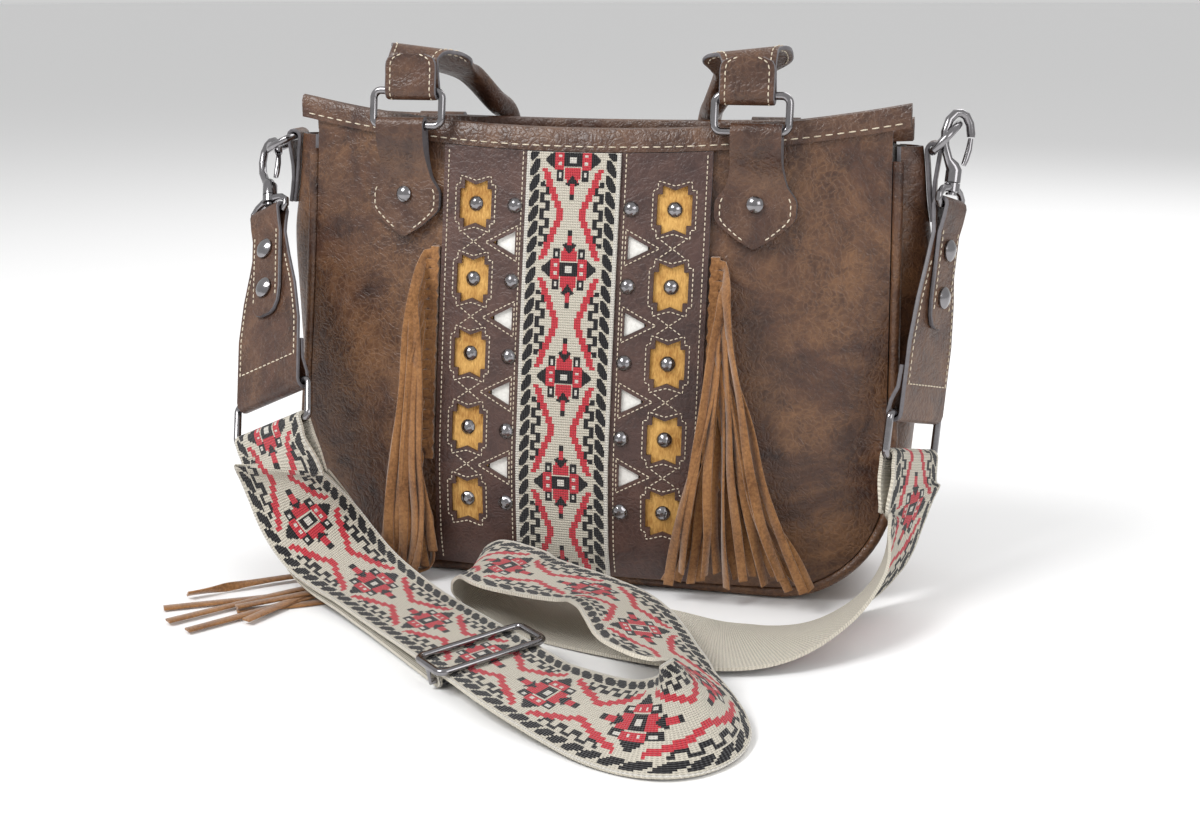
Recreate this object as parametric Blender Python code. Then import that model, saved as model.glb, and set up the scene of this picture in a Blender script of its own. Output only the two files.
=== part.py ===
"""Tote bag in distressed leather, with a woven band, hide inlays, suede fringes and a guitar-style strap.

Units are metres. +X is to the right as the front is seen, +Y goes to the back, +Z is up. The origin is at
the middle of the base, on the surface that the bag stands on. "left" and "right" are as seen from the front.
"""

import math

import bmesh
import bpy
import numpy as np

# Body
RIM_HEIGHT = 0.241  # top of the front rim at its middle
RIM_RISE = 0.013  # how much higher the rim's ends are
BASE_WIDTH = 0.330
TOP_WIDTH = 0.316
BELLY_DEPTH = 0.116  # deepest part, a quarter of the way up
BASE_SEAM_DEPTH = 0.092
RIM_DEPTH = 0.054
RIM_SEAM_DEPTH = 0.024
CORNER_RADIUS = 0.058
LEAN = 0.005  # the soft body sits this far to the right of its decorated middle
LEATHER = 0.0020
PIPING_RADIUS = 0.00275
SEAM_Z = 0.0034  # height of the piping along the base
GUSSET_BULGE = 0.016
GUSSET_TOP = 0.2332
PIPING_TOP = 0.226
LINING = 0.0008
LINING_GAP = 0.0010
GAP = 0.0003
SEAT = 0.0005  # clearance of a sheet that follows a panel's curve

# Rim binding
BINDING_HEIGHT = 0.012
BINDING_HALF = 0.0042
BINDING_OVERHANG = 0.006

# Decorated middle
OVERLAY_WIDTH = 0.144
OVERLAY_SHEET = 0.0014
INLAY_SHEET = 0.0008
RIBBON_WIDTH = 0.050
RIBBON_SHEET = 0.0016
ROWS = 5
TOP_ROW = 0.201
ROW_PITCH = 0.0388
INLAY_X = 0.0535
STUD_X = 0.0312
STUD_RADIUS = 0.0040
STUD_HEIGHT = 0.0022
INLAY_WIDTH = 0.018
INLAY_HEIGHT = 0.0155
INLAY_STEP = 0.0065
INLAY_TAB = 0.0046
TRIANGLE_X = 0.0365
TRIANGLE_HALF = 0.0062

# Handles, their rings and tabs
HANDLE_X = 0.089
RING_SHIFT = 0.0025  # the rings and the tabs sit this much further out than the handle ends
TAB_SHIFT = 0.0055
HANDLE_STRAP_WIDTH = 0.028
HANDLE_LEAF_WIDTH = 0.047
HANDLE_LEATHER = 0.0024
HANDLE_TUBE = 0.0126
WIRE = 0.0020  # radius of the ring and hook wire
RING_WIDTH = 0.038
RING_HEIGHT = 0.018
TAB_WIDTH = 0.041
TAB_NECK = 0.026
TAB_SHEET = 0.0044
TAB_LENGTH = 0.058
LOOP_SHEET = 0.0020
FIT = 0.0005  # a bar's running clearance in its leather loop

# Side hardware and strap
SIDE_TAB_WIDTH = 0.0128
SIDE_TAB_Y = 0.0032  # the side tabs sit a little behind the gusset's middle
SIDE_TAB_LENGTH = 0.036
D_RING_WIDTH = 0.027
D_RING_HEIGHT = 0.0175
EYE_WIDTH = 0.026
EYE_AT = 0.042  # the eye's lower bar, below the top of the hook
SWIVEL_AT = 0.031  # below this the hook may face another way than the eye
CHAPE_LENGTH = 0.106
CHAPE_TOP_WIDTH = 0.022
CHAPE_WIDTH = 0.047
CHAPE_LEATHER = 0.0022
STRAP_RING_WIDTH = 0.0548
STRAP_RING_HEIGHT = 0.022
STRAP_WIDTH = 0.049
STRAP_SHEET = 0.0018
RIVET_RADIUS = 0.0055

# Fringe
FRINGE_STRIPS = 9
STRIP_WIDTH = 0.0062
STRIP_SHEET = 0.0013
FRINGE_TOP = 0.178
FRINGE_BASE = 0.112


def material(name, colour, roughness, metallic=0.0):
    made = bpy.data.materials.new(name)
    made.use_nodes = True
    shader = made.node_tree.nodes["Principled BSDF"]
    shader.inputs["Base Color"].default_value = (*colour, 1.0)
    shader.inputs["Roughness"].default_value = roughness
    shader.inputs["Metallic"].default_value = metallic
    made.diffuse_color = (*colour, 1.0)
    return made


def solid(name, vertices, faces, finish, origin=(0.0, 0.0, 0.0), smooth=True):
    """One closed mesh object with its origin at the given point, faces outward."""
    origin = np.array(origin, float)
    mesh = bpy.data.meshes.new(name)
    mesh.from_pydata([tuple(np.array(v, float) - origin) for v in vertices], [], faces)
    shape = bmesh.new()
    shape.from_mesh(mesh)
    bmesh.ops.recalc_face_normals(shape, faces=shape.faces)
    shape.to_mesh(mesh)
    shape.free()
    if smooth:
        mesh.shade_smooth()
        mesh.set_sharp_from_angle(angle=math.radians(40))
    mesh.materials.append(finish)
    made = bpy.data.objects.new(name, mesh)
    made.location = tuple(origin)
    bpy.context.scene.collection.objects.link(made)
    return made


def helper(made):
    """A cutter or an added shape that a Boolean uses and that isn't a piece by itself."""
    made.hide_render = True
    made.display_type = "WIRE"
    return made


def boolean(target, other, operation):
    modifier = target.modifiers.new(other.name, "BOOLEAN")
    modifier.operation = operation
    modifier.solver = "EXACT"
    modifier.object = other


def unit(v):
    v = np.array(v, float)
    return v / np.linalg.norm(v)


def smooth_table(pairs):
    """A smooth curve through (place, value) pairs, which doesn't overshoot them."""
    xs = np.array([p[0] for p in pairs], float)
    ys = np.array([p[1] for p in pairs], float)
    slopes = np.diff(ys) / np.diff(xs)
    ends = np.empty(len(xs))
    ends[0] = slopes[0]
    ends[-1] = slopes[-1]
    for i in range(1, len(xs) - 1):
        before = slopes[i - 1]
        after = slopes[i]
        ends[i] = 0.0 if before * after <= 0 else 2 * before * after / (before + after)

    def value(x):
        x = min(max(x, xs[0]), xs[-1])
        i = min(int(np.searchsorted(xs, x, side="right")) - 1, len(xs) - 2)
        step = xs[i + 1] - xs[i]
        t = (x - xs[i]) / step
        return (
            ys[i] * (1 + 2 * t) * (1 - t) ** 2
            + ends[i] * step * t * (1 - t) ** 2
            + ys[i + 1] * t * t * (3 - 2 * t)
            + ends[i + 1] * step * t * t * (t - 1)
        )

    return value


def smooth_route(points, count):
    """The points of a smooth curve through the route's own points, evenly spaced along it."""
    points = np.array(points, float)
    padded = np.vstack([2 * points[0] - points[1], points, 2 * points[-1] - points[-2]])
    fine = []
    for i in range(len(points) - 1):
        a, b, c, d = padded[i : i + 4]
        for t in np.linspace(0, 1, 24, endpoint=False):
            fine.append(
                0.5 * (2 * b + (c - a) * t + (2 * a - 5 * b + 4 * c - d) * t**2 + (3 * b - a - 3 * c + d) * t**3)
            )
    fine.append(points[-1])
    fine = np.array(fine)
    along = np.concatenate([[0], np.cumsum(np.linalg.norm(np.diff(fine[:, :3], axis=0), axis=1))])
    wanted = np.linspace(0, along[-1], count)
    return np.stack([np.interp(wanted, along, fine[:, k]) for k in range(fine.shape[1])], axis=1)


def slab(outer, inner):
    """Vertices and faces of the closed solid between two grids of points of one size."""
    outer = np.array(outer, float)
    inner = np.array(inner, float)
    rows, columns = outer.shape[:2]
    vertices = [tuple(v) for v in outer.reshape(-1, 3)] + [tuple(v) for v in inner.reshape(-1, 3)]
    half = rows * columns

    def at(layer, i, j):
        return layer * half + i * columns + j

    faces = []
    for i in range(rows - 1):
        for j in range(columns - 1):
            faces.append((at(0, i, j), at(0, i, j + 1), at(0, i + 1, j + 1), at(0, i + 1, j)))
            faces.append((at(1, i, j), at(1, i + 1, j), at(1, i + 1, j + 1), at(1, i, j + 1)))
    for j in range(columns - 1):
        for i in (0, rows - 1):
            faces.append((at(0, i, j), at(1, i, j), at(1, i, j + 1), at(0, i, j + 1)))
    for i in range(rows - 1):
        for j in (0, columns - 1):
            faces.append((at(0, i, j), at(0, i + 1, j), at(1, i + 1, j), at(1, i, j)))
    return vertices, faces


def circle(radius, sides=6):
    turns = [2 * math.pi * (k + 0.5) / sides for k in range(sides)]
    return [(radius * math.cos(t), radius * math.sin(t)) for t in turns]


def band(width, thickness):
    w, t = width / 2, thickness / 2
    return [(-w, -t), (w, -t), (w, t), (-w, t)]


def oval(width, thickness, squareness, sides=12):
    """A rounded section from flat and square-edged (squareness 1) to round (0)."""
    power = 2 / (2 + 6 * squareness)
    points = []
    for k in range(sides):
        turn = 2 * math.pi * (k + 0.5) / sides
        c, s = math.cos(turn), math.sin(turn)
        points.append(
            (width / 2 * math.copysign(abs(c) ** power, c), thickness / 2 * math.copysign(abs(s) ** power, s))
        )
    return points


def tangents(points, closed=False):
    points = np.array(points, float)
    if closed:
        steps = np.roll(points, -1, axis=0) - np.roll(points, 1, axis=0)
    else:
        steps = np.gradient(points, axis=0)
    return steps / np.linalg.norm(steps, axis=1)[:, None]


def sweep(points, widths, sections, closed=False):
    """A section carried along points. widths[i] is the direction of the section's first axis there."""
    points = np.array(points, float)
    along = tangents(points, closed)
    vertices = []
    for point, t, w, section in zip(points, along, widths, sections):
        w = unit(np.array(w, float) - np.dot(w, t) * t)
        n = np.cross(t, w)
        vertices += [tuple(point + a * w + b * n) for a, b in section]
    k = len(sections[0])
    count = len(points)
    faces = []
    for i in range(count if closed else count - 1):
        after = (i + 1) % count
        for j in range(k):
            up = (j + 1) % k
            faces.append((i * k + j, i * k + up, after * k + up, after * k + j))
    if not closed:
        faces.append(tuple(range(k)))
        faces.append(tuple((count - 1) * k + j for j in range(k)))
    return vertices, faces


def carried(points, first):
    """Width directions that don't twist along the points, from the first one."""
    along = tangents(points)
    w = np.array(first, float)
    out = []
    for t in along:
        w = unit(w - np.dot(w, t) * t)
        out.append(w)
    return out


# The body's surface
DEPTH_SHARE = smooth_table(
    ((0, 0.72), (0.12, 0.97), (0.25, 1.0), (0.42, 0.84), (0.62, 0.58), (0.83, 0.26), (1.0, 0.0))
)
SEAM_SHARE = smooth_table(((0, 1.0), (0.25, 0.63), (0.42, 0.44), (0.62, 0.25), (0.83, 0.09), (1.0, 0.0)))
BULGE_SHARE = smooth_table(((0, 0.1), (0.15, 0.2), (0.35, 0.5), (0.55, 0.8), (0.74, 1.0), (0.86, 0.8), (0.96, 0.68), (1.0, 0.5)))


def half_width(z):
    share = min(max(z / RIM_HEIGHT, 0), 1)
    return (BASE_WIDTH + (TOP_WIDTH - BASE_WIDTH) * share) / 2


def centre_depth(z):
    return RIM_DEPTH / 2 + (BELLY_DEPTH - RIM_DEPTH) / 2 * DEPTH_SHARE(z / RIM_HEIGHT)


def seam_depth(z):
    return RIM_SEAM_DEPTH / 2 + (BASE_SEAM_DEPTH - RIM_SEAM_DEPTH) / 2 * SEAM_SHARE(z / RIM_HEIGHT)


def outline_half(z, inset=0.0):
    """Half the panel's width at a height: straight sides and round lower corners."""
    corner = SEAM_Z + CORNER_RADIUS
    full = half_width(max(z, corner)) - inset
    if z >= corner:
        return full
    radius = CORNER_RADIUS - inset
    return full - radius + math.sqrt(max(radius**2 - (corner - z) ** 2, 0))


def depth(x, z):
    """How far the outer face of a panel is from the bag's middle plane."""
    u = (x - LEAN) / outline_half(max(z, SEAM_Z))
    crown = max(1 - u * u, 0.0)
    return seam_depth(z) + (centre_depth(z) - seam_depth(z)) * crown


def rim_height(side, x):
    share = min(abs(x - LEAN) / (TOP_WIDTH / 2), 1.06)
    if side < 0:
        return RIM_HEIGHT + RIM_RISE * share**2.2
    return RIM_HEIGHT + 0.001 + RIM_RISE * 0.35 * share**2


PANEL_COLUMNS = 15


def panel_rows(inset):
    """Heights of a panel's rows, close together round the lower corners."""
    corner = SEAM_Z + CORNER_RADIUS
    low = [corner - (CORNER_RADIUS - inset) * math.cos(t) for t in np.linspace(0, math.pi / 2, 6)]
    return low + list(np.linspace(corner, RIM_HEIGHT - BINDING_HEIGHT, 7)[1:]) + [RIM_HEIGHT]


def panel_grid(side, inward, inset, drop):
    """A grid over the front or back panel, this far inside its outer face, from edge to edge."""
    rows = []
    heights = panel_rows(inset)
    for z0 in heights:
        share = (z0 - heights[0]) / (RIM_HEIGHT - heights[0])
        row = []
        for u in np.sin(np.linspace(-math.pi / 2, math.pi / 2, PANEL_COLUMNS)):
            x = LEAN + outline_half(z0, inset) * u
            z = z0 + (rim_height(side, x) - drop - RIM_HEIGHT) * share**4
            row.append((x, side * (depth(x, z) - inward), z))
        rows.append(row)
    return rows


def seam_path(count, top, inset=0.0):
    """Points (x, z) and outward directions down one side seam, along the base and up the other."""
    corner_z = SEAM_Z + CORNER_RADIUS
    radius = CORNER_RADIUS - inset
    stations = []
    for z in np.linspace(top, corner_z, count, endpoint=False):
        stations.append((-half_width(z) + inset, z, -1.0, 0.0))
    centre = half_width(corner_z) - CORNER_RADIUS
    for t in np.linspace(0, math.pi / 2, 6)[:-1]:
        stations.append(
            (-centre - radius * math.cos(t), corner_z - radius * math.sin(t), -math.cos(t), -math.sin(t))
        )
    for x in np.linspace(-centre, 0, 3):
        stations.append((x, SEAM_Z + inset, 0.0, -1.0))
    mirrored = [(-x, z, -nx, nz) for x, z, nx, nz in stations[-2::-1]]
    return [(x + LEAN, z, nx, nz) for x, z, nx, nz in stations + mirrored]


def bulge(z, nz):
    """How far the gusset swells beyond the seams: on the sides a lot, under the base a little."""
    side = GUSSET_BULGE * BULGE_SHARE(z / RIM_HEIGHT)
    under = SEAM_Z - LEATHER / 2
    return side * (1 + min(nz, 0)) + under * max(-nz, 0)


def gusset_grid(outward):
    rows = []
    for x, z, nx, nz in seam_path(7, GUSSET_TOP):
        row = []
        edge = seam_depth(z) - LEATHER / 2 - PIPING_RADIUS - GAP
        power = 2 + 6 * max(-nz, 0)
        for t in (-1, -0.8, -0.45, 0, 0.45, 0.8, 1):
            out = outward + bulge(z, nz) * (1 - abs(t) ** power)
            row.append((x + nx * out, edge * t, z + nz * out))
        rows.append(row)
    return rows


def make_body(leather, lining_cloth, board):
    edge = PIPING_RADIUS + GAP
    cover = BINDING_HEIGHT * 0.3
    for side, name in ((-1, "front_panel"), (1, "back_panel")):
        solid(name, *slab(panel_grid(side, 0, edge, cover), panel_grid(side, LEATHER, edge, cover)), leather)
    solid("gusset", *slab(gusset_grid(LEATHER / 2), gusset_grid(-LEATHER / 2)), leather)
    for side, name in ((-1, "front_piping"), (1, "back_piping")):
        path = [(x, side * (seam_depth(z) - LEATHER / 2), z) for x, z, _, _ in seam_path(6, PIPING_TOP)]
        widths = [(0, 1, 0)] * len(path)
        solid(name, *sweep(path, widths, [circle(PIPING_RADIUS)] * len(path)), leather)
    make_lining(lining_cloth)
    half = BASE_WIDTH / 2 - CORNER_RADIUS - 0.004
    deep = BASE_SEAM_DEPTH / 2 - LEATHER - LINING - 0.006
    bottom = LINING_BOTTOM + LINING + GAP
    corners = [(LEAN + sx * half, sy * deep) for sx, sy in ((-1, -1), (1, -1), (1, 1), (-1, 1))]
    vertices = [(x, y, bottom) for x, y in corners] + [(x, y, bottom + LEATHER) for x, y in corners]
    faces = [(0, 1, 2, 3), (4, 5, 6, 7), (0, 1, 5, 4), (1, 2, 6, 5), (2, 3, 7, 6), (3, 0, 4, 7)]
    solid("base_board", vertices, faces, board, smooth=False)


LINING_BOTTOM = SEAM_Z + PIPING_RADIUS + GAP


def lining_ring(z0, share, inset):
    """One closed ring of the lining, inset from the panels and the gusset."""
    inward = LEATHER + LINING_GAP + inset
    half = outline_half(z0, PIPING_RADIUS + 2 * GAP + inset)
    ring = []
    for side in (-1, 1):
        for u in np.sin(np.linspace(-math.pi / 2, math.pi / 2, PANEL_COLUMNS)):
            u = u if side < 0 else -u
            x = LEAN + half * u
            top = GUSSET_TOP if abs(u) > 0.98 else rim_height(side, x) - BINDING_HEIGHT * 0.3
            z = z0 + (top - RIM_HEIGHT) * share**4
            ring.append((x, side * (depth(x, z) - inward), z))
        end = 1 if side < 0 else -1
        for t in (-0.7, 0, 0.7):
            t = t if side < 0 else -t
            swell = 0.85 * bulge(z0, 0) * (1 - t * t) * (1 if z0 > SEAM_Z + CORNER_RADIUS else 0.3)
            reach = seam_depth(z0) - inward - PIPING_RADIUS
            z = z0 + (GUSSET_TOP - RIM_HEIGHT) * share**4
            ring.append((LEAN + end * (half + swell), reach * t, z))
    return ring


def make_lining(cloth):
    """A cloth bag inside the leather one, open at the top: outer rings upward, then inner rings downward."""
    rings = []
    for inset, order in ((0.0, 1), (LINING, -1)):
        low = LINING_BOTTOM + inset
        shares = (0, 0.05, 0.13, 0.24, 0.45, 0.7, 0.94, 1)
        heights = [low + s * (RIM_HEIGHT - low) for s in shares]
        layer = [lining_ring(z, (z - heights[0]) / (RIM_HEIGHT - heights[0]), inset) for z in heights]
        rings += layer[::order]
    k = len(rings[0])
    vertices = [v for ring in rings for v in ring]
    faces = []
    for i in range(len(rings) - 1):
        for j in range(k):
            up = (j + 1) % k
            faces.append((i * k + j, i * k + up, (i + 1) * k + up, (i + 1) * k + j))
    for i, z in ((0, LINING_BOTTOM), (len(rings) - 1, LINING_BOTTOM + LINING)):
        vertices.append((LEAN, 0, z))
        for j in range(k):
            faces.append((i * k + j, i * k + (j + 1) % k, len(vertices) - 1))
    solid("lining", vertices, faces, cloth)


def make_bindings(leather):
    """The rolled strip over each rim: a hood in section, with the panel and the lining in its slot."""
    middle = (LEATHER + LINING_GAP + LINING) / 2
    slot = middle + GAP + 0.0003
    h, b = BINDING_HEIGHT, BINDING_HALF
    section = [
        (-b, -h), (-b, -0.3 * h), (-0.6 * b, -0.06 * h), (0, 0), (0.6 * b, -0.06 * h), (b, -0.3 * h), (b, -h),
        (slot, -h), (slot, -0.27 * h), (-slot, -0.27 * h), (-slot, -h),
    ]
    for side, name in ((-1, "front_rim_binding"), (1, "back_rim_binding")):
        reach = TOP_WIDTH / 2 + BINDING_OVERHANG
        vertices = []
        places = np.linspace(-reach, reach, 19)
        for dx in places:
            x = LEAN + dx
            z = rim_height(side, x)
            for a, c in section:
                vertices.append((x, side * (depth(x, z + c) - middle) + a, z + c))
        k = len(section)
        faces = []
        for i in range(len(places) - 1):
            for j in range(k):
                up = (j + 1) % k
                faces.append((i * k + j, i * k + up, (i + 1) * k + up, (i + 1) * k + j))
        faces.append(tuple(range(k)))
        faces.append(tuple((len(places) - 1) * k + j for j in range(k)))
        solid(name, vertices, faces, leather)


def panel_normal(side, x, z):
    step = 0.001
    across = (depth(x + step, z) - depth(x - step, z)) / (2 * step)
    upward = (depth(x, z + step) - depth(x, z - step)) / (2 * step)
    return unit((-across, side, -upward))


def front_patch(x0, x1, low, high, inner, thickness, columns, rows):
    """A sheet over the front panel between two heights: its back is this far off the panel."""
    outer_rows, inner_rows = [], []
    for v in np.linspace(0, 1, rows):
        outer_row, inner_row = [], []
        for x in np.linspace(x0, x1, columns):
            top = high if high is not None else rim_height(-1, x) - BINDING_HEIGHT - GAP
            z = low + (top - low) * v
            y = -depth(x, z)
            outer_row.append((x, y - inner - thickness, z))
            inner_row.append((x, y - inner, z))
        outer_rows.append(outer_row)
        inner_rows.append(inner_row)
    return slab(outer_rows, inner_rows)


def prism(outline, near, far):
    """A straight cutter along Y from an (x, z) outline."""
    k = len(outline)
    vertices = [(x, near, z) for x, z in outline] + [(x, far, z) for x, z in outline]
    faces = [tuple(range(k)), tuple(range(k, 2 * k))]
    faces += [(j, (j + 1) % k, k + (j + 1) % k, k + j) for j in range(k)]
    return vertices, faces


def joined(parts):
    vertices, faces = [], []
    for part_vertices, part_faces in parts:
        start = len(vertices)
        vertices += list(part_vertices)
        faces += [tuple(start + i for i in face) for face in part_faces]
    return vertices, faces


def inlay_outline(x, z):
    """A stepped window: a wide middle with a narrower notched tab above and below."""
    w, h, t, s = INLAY_WIDTH / 2, INLAY_HEIGHT / 2, INLAY_TAB, INLAY_STEP
    right = [(w, -h), (w, h), (s, h), (s, h + t), (0, h + t * 0.45)]
    left = [(-s, h + t), (-s, h), (-w, h), (-w, -h), (-s, -h), (-s, -h - t), (0, -h - t * 0.45), (s, -h - t), (s, -h)]
    return [(x + a, z + b) for a, b in right + left]


def stud(x, z, inner):
    """A low dome on the front, its base sunk into the sheet that it is fixed to."""
    base = -depth(x, z) - inner
    vertices, faces = [], []
    sides = 8
    for radius, out in ((STUD_RADIUS, -0.0005), (STUD_RADIUS, 0.0006), (STUD_RADIUS * 0.6, STUD_HEIGHT)):
        vertices += [(x + a, base - out, z + b) for a, b in circle(radius, sides)]
    for i in range(2):
        for j in range(sides):
            up = (j + 1) % sides
            faces.append((i * sides + j, i * sides + up, (i + 1) * sides + up, (i + 1) * sides + j))
    faces.append(tuple(range(sides)))
    faces.append(tuple(range(2 * sides, 3 * sides)))
    return vertices, faces


def row_height(row):
    return TOP_ROW - row * ROW_PITCH


def make_front(leather, hide, white, webbing):
    low = SEAM_Z + PIPING_RADIUS + 0.002
    under = SEAT + INLAY_SHEET + GAP
    half = OVERLAY_WIDTH / 2
    overlay = solid(
        "centre_overlay", *front_patch(-half, half, low, None, under, OVERLAY_SHEET, 7, 11), leather
    )
    windows, studs = [], []
    for side in (-1, 1):
        for row in range(ROWS):
            z = row_height(row)
            windows.append(prism(inlay_outline(side * INLAY_X, z), -0.1, 0))
            studs.append(stud(side * STUD_X, z, under + OVERLAY_SHEET))
        for row in range(ROWS - 1):
            z = row_height(row) - ROW_PITCH / 2
            tip, back = side * (TRIANGLE_X + TRIANGLE_HALF), side * (TRIANGLE_X - TRIANGLE_HALF)
            windows.append(prism([(tip, z), (back, z + TRIANGLE_HALF), (back, z - TRIANGLE_HALF)], -0.1, 0))
    boolean(overlay, helper(solid("overlay_windows", *joined(windows), leather)), "DIFFERENCE")
    boolean(overlay, helper(solid("overlay_studs", *joined(studs), leather)), "UNION")
    for side, name in ((-1, "left"), (1, "right")):
        top = row_height(0) + INLAY_HEIGHT / 2 + INLAY_TAB + 0.004
        bottom = row_height(ROWS - 1) - INLAY_HEIGHT / 2 - INLAY_TAB - 0.004
        spread = INLAY_WIDTH / 2 + 0.003
        middle = side * INLAY_X
        strip = solid(
            f"hide_strip_{name}",
            *front_patch(middle - spread, middle + spread, bottom, top, SEAT, INLAY_SHEET, 2, 9),
            hide,
        )
        inlay_studs = [stud(middle, row_height(row), SEAT + INLAY_SHEET) for row in range(ROWS)]
        boolean(strip, helper(solid(f"inlay_studs_{name}", *joined(inlay_studs), hide)), "UNION")
        top = row_height(0) - ROW_PITCH / 2 + TRIANGLE_HALF + 0.004
        bottom = row_height(ROWS - 2) - ROW_PITCH / 2 - TRIANGLE_HALF - 0.004
        inner_edge = side * (TRIANGLE_X - TRIANGLE_HALF - 0.003)
        outer_edge = middle - side * (spread + 0.001)
        solid(
            f"white_strip_{name}",
            *front_patch(min(inner_edge, outer_edge), max(inner_edge, outer_edge), bottom, top, SEAT, INLAY_SHEET, 2, 9),
            white,
        )
    on_top = under + OVERLAY_SHEET + GAP
    w = RIBBON_WIDTH / 2
    solid("woven_ribbon", *front_patch(-w, w, low, None, on_top, RIBBON_SHEET, 4, 11), webbing)


def rounded_loop(width, height, corner, count=3):
    """A closed rounded rectangle in (u, v), v from 0 at its first bar to height at the other."""
    w, r = width / 2, corner
    centres = ((w - r, r, -90), (w - r, height - r, 0), (-w + r, height - r, 90), (-w + r, r, 180))
    points = []
    for cu, cv, start in centres:
        for t in np.linspace(start, start + 90, count):
            a = math.radians(t)
            points.append((cu + r * math.cos(a), cv + r * math.sin(a)))
    return points


def make_wire_loop(name, outline, origin, u, v, radius, finish):
    """A closed wire ring whose first bar's middle is at origin, lying in the plane of u and v."""
    origin, u, v = np.array(origin, float), unit(u), unit(v)
    points = [origin + a * u + b * v for a, b in outline]
    normal = np.cross(u, v)
    return solid(
        name,
        *sweep(points, [normal] * len(points), [circle(radius)] * len(points), closed=True),
        finish,
        origin=tuple(origin),
    )


LOOP_RADIUS = WIRE + FIT + LOOP_SHEET / 2  # middle of a leather loop round a bar
TAB_OUT = 0.0058  # how far a tab's back lies off the panel's face where it crosses the rim binding


def loop_centre(side):
    """The bar in a handle tab's loop, (y, z), beside the rim."""
    x = HANDLE_X + TAB_SHIFT
    z = rim_height(side, x) - 0.004
    y = side * (depth(x, z) + TAB_OUT + WIRE + FIT + LOOP_SHEET)
    return y, z


def tab_half(share):
    """Half the width of a handle tab, from its loop (0) to its tip (1)."""
    table = smooth_table(
        ((0, TAB_NECK / 2), (0.25, TAB_NECK / 2), (0.45, TAB_NECK / 2 + 0.002), (0.62, TAB_WIDTH / 2), (0.72, TAB_WIDTH / 2), (0.88, TAB_WIDTH * 0.3), (1, 0.0012))
    )
    return table(share)


def make_handle_tab(name, side, x, leather):
    """A spade-shaped plate on the panel. Its upper end goes round the ring's lower bar and down behind."""
    cy, cz = loop_centre(side)
    full = WIRE + FIT + LOOP_SHEET
    stations = (0.05, 0.14, 0.24, 0.34, 0.45, 0.56, 0.64, 0.72, 0.82, 0.92, 1.0)
    turns = np.linspace(0, math.pi, 7)
    vertices = []
    for sign in (-1, 0, 1):
        column = [(x + sign * TAB_NECK / 2, cy - side * full * math.cos(t), cz + full * math.sin(t)) for t in turns]
        back = []
        for s in stations:
            z = cz - s * TAB_LENGTH
            px = x + sign * tab_half(s)
            seat = depth(px, z) + SEAT
            blend = min(max((s - 0.10) / 0.42, 0), 1)
            blend = blend * blend * (3 - 2 * blend)
            y = max((1 - blend) * (abs(cy) - full) + blend * seat, seat)
            thick = (1 - blend) * 2 * full + blend * TAB_SHEET
            column.append((px, side * (y + thick), z))
            back.append((px, side * y, z))
        vertices += column + back[::-1]
    first, count = len(turns), len(stations)
    k = first + 2 * count
    faces = []
    for layer in (0, 1):
        for j in range(k):
            up = (j + 1) % k
            faces.append((layer * k + j, layer * k + up, (layer + 1) * k + up, (layer + 1) * k + j))
    for base in (0, 2 * k):
        for i in range(count - 1):
            faces.append((base + first + i, base + first + i + 1, base + k - 2 - i, base + k - 1 - i))
        faces.append(tuple(base + j for j in list(range(first + 1)) + [k - 1]))
    made = solid(name, vertices, faces, leather)
    path = [(x - TAB_NECK, cy, cz), (x + TAB_NECK, cy, cz)]
    shape = sweep(path, [(0, 1, 0)] * 2, [circle(WIRE + FIT, 10)] * 2)
    boolean(made, helper(solid(f"{name}_bore", *shape, leather)), "DIFFERENCE")


def make_cap(name, centre, normal, radius, finish):
    """A domed rivet or stud head that sits on a surface."""
    normal = unit(normal)
    side = unit(np.cross(normal, (0.3, 0.1, 0.9)))
    up = np.cross(normal, side)
    centre = np.array(centre, float)
    sides = 10
    vertices, faces = [], []
    for share, height in ((1.0, 0.0), (1.0, 0.0008), (0.7, 0.0020), (0.25, 0.0027)):
        for a, b in circle(radius * share, sides):
            vertices.append(tuple(centre + a * side + b * up + height * normal))
    for i in range(3):
        for j in range(sides):
            faces.append((i * sides + j, i * sides + (j + 1) % sides, (i + 1) * sides + (j + 1) % sides, (i + 1) * sides + j))
    faces.append(tuple(range(sides)))
    faces.append(tuple(range(3 * sides, 4 * sides)))
    return solid(name, vertices, faces, finish)


def arc(cy, cz, radius, start, end, count):
    """Points (y, z) on a circle between two angles in degrees, measured from +Y towards +Z."""
    turns = np.radians(np.linspace(start, end, count))
    return [(cy + radius * math.cos(t), cz + radius * math.sin(t)) for t in turns]


HANDLE_LOOP = WIRE + FIT + HANDLE_LEATHER / 2
PATCH_RISE = 0.019  # how far a handle end stands beyond its ring bar
FRONT_LEG_X = 0.056
FRONT_ARCH_Z = 0.160
BACK_ARCH_Z = 0.128


def max_depth(x, z):
    """The panel's face at x or -x, whichever is further out: a handle lies against both."""
    return max(depth(x, z), depth(-x, z))


def back_rest(x, z):
    """How far back the middle of a handle tube lies when it hangs against the back panel."""
    radius = HANDLE_TUBE / 2
    reach = 0.0
    for a in (-0.8, -0.4, 0, 0.4, 0.8):
        for b in (-0.5, 0, 0.5):
            face = max_depth(abs(x) + a * radius, z + b * radius)
            reach = max(reach, face + radius * math.sqrt(1 - a * a - b * b))
    return reach + 0.0010


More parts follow.
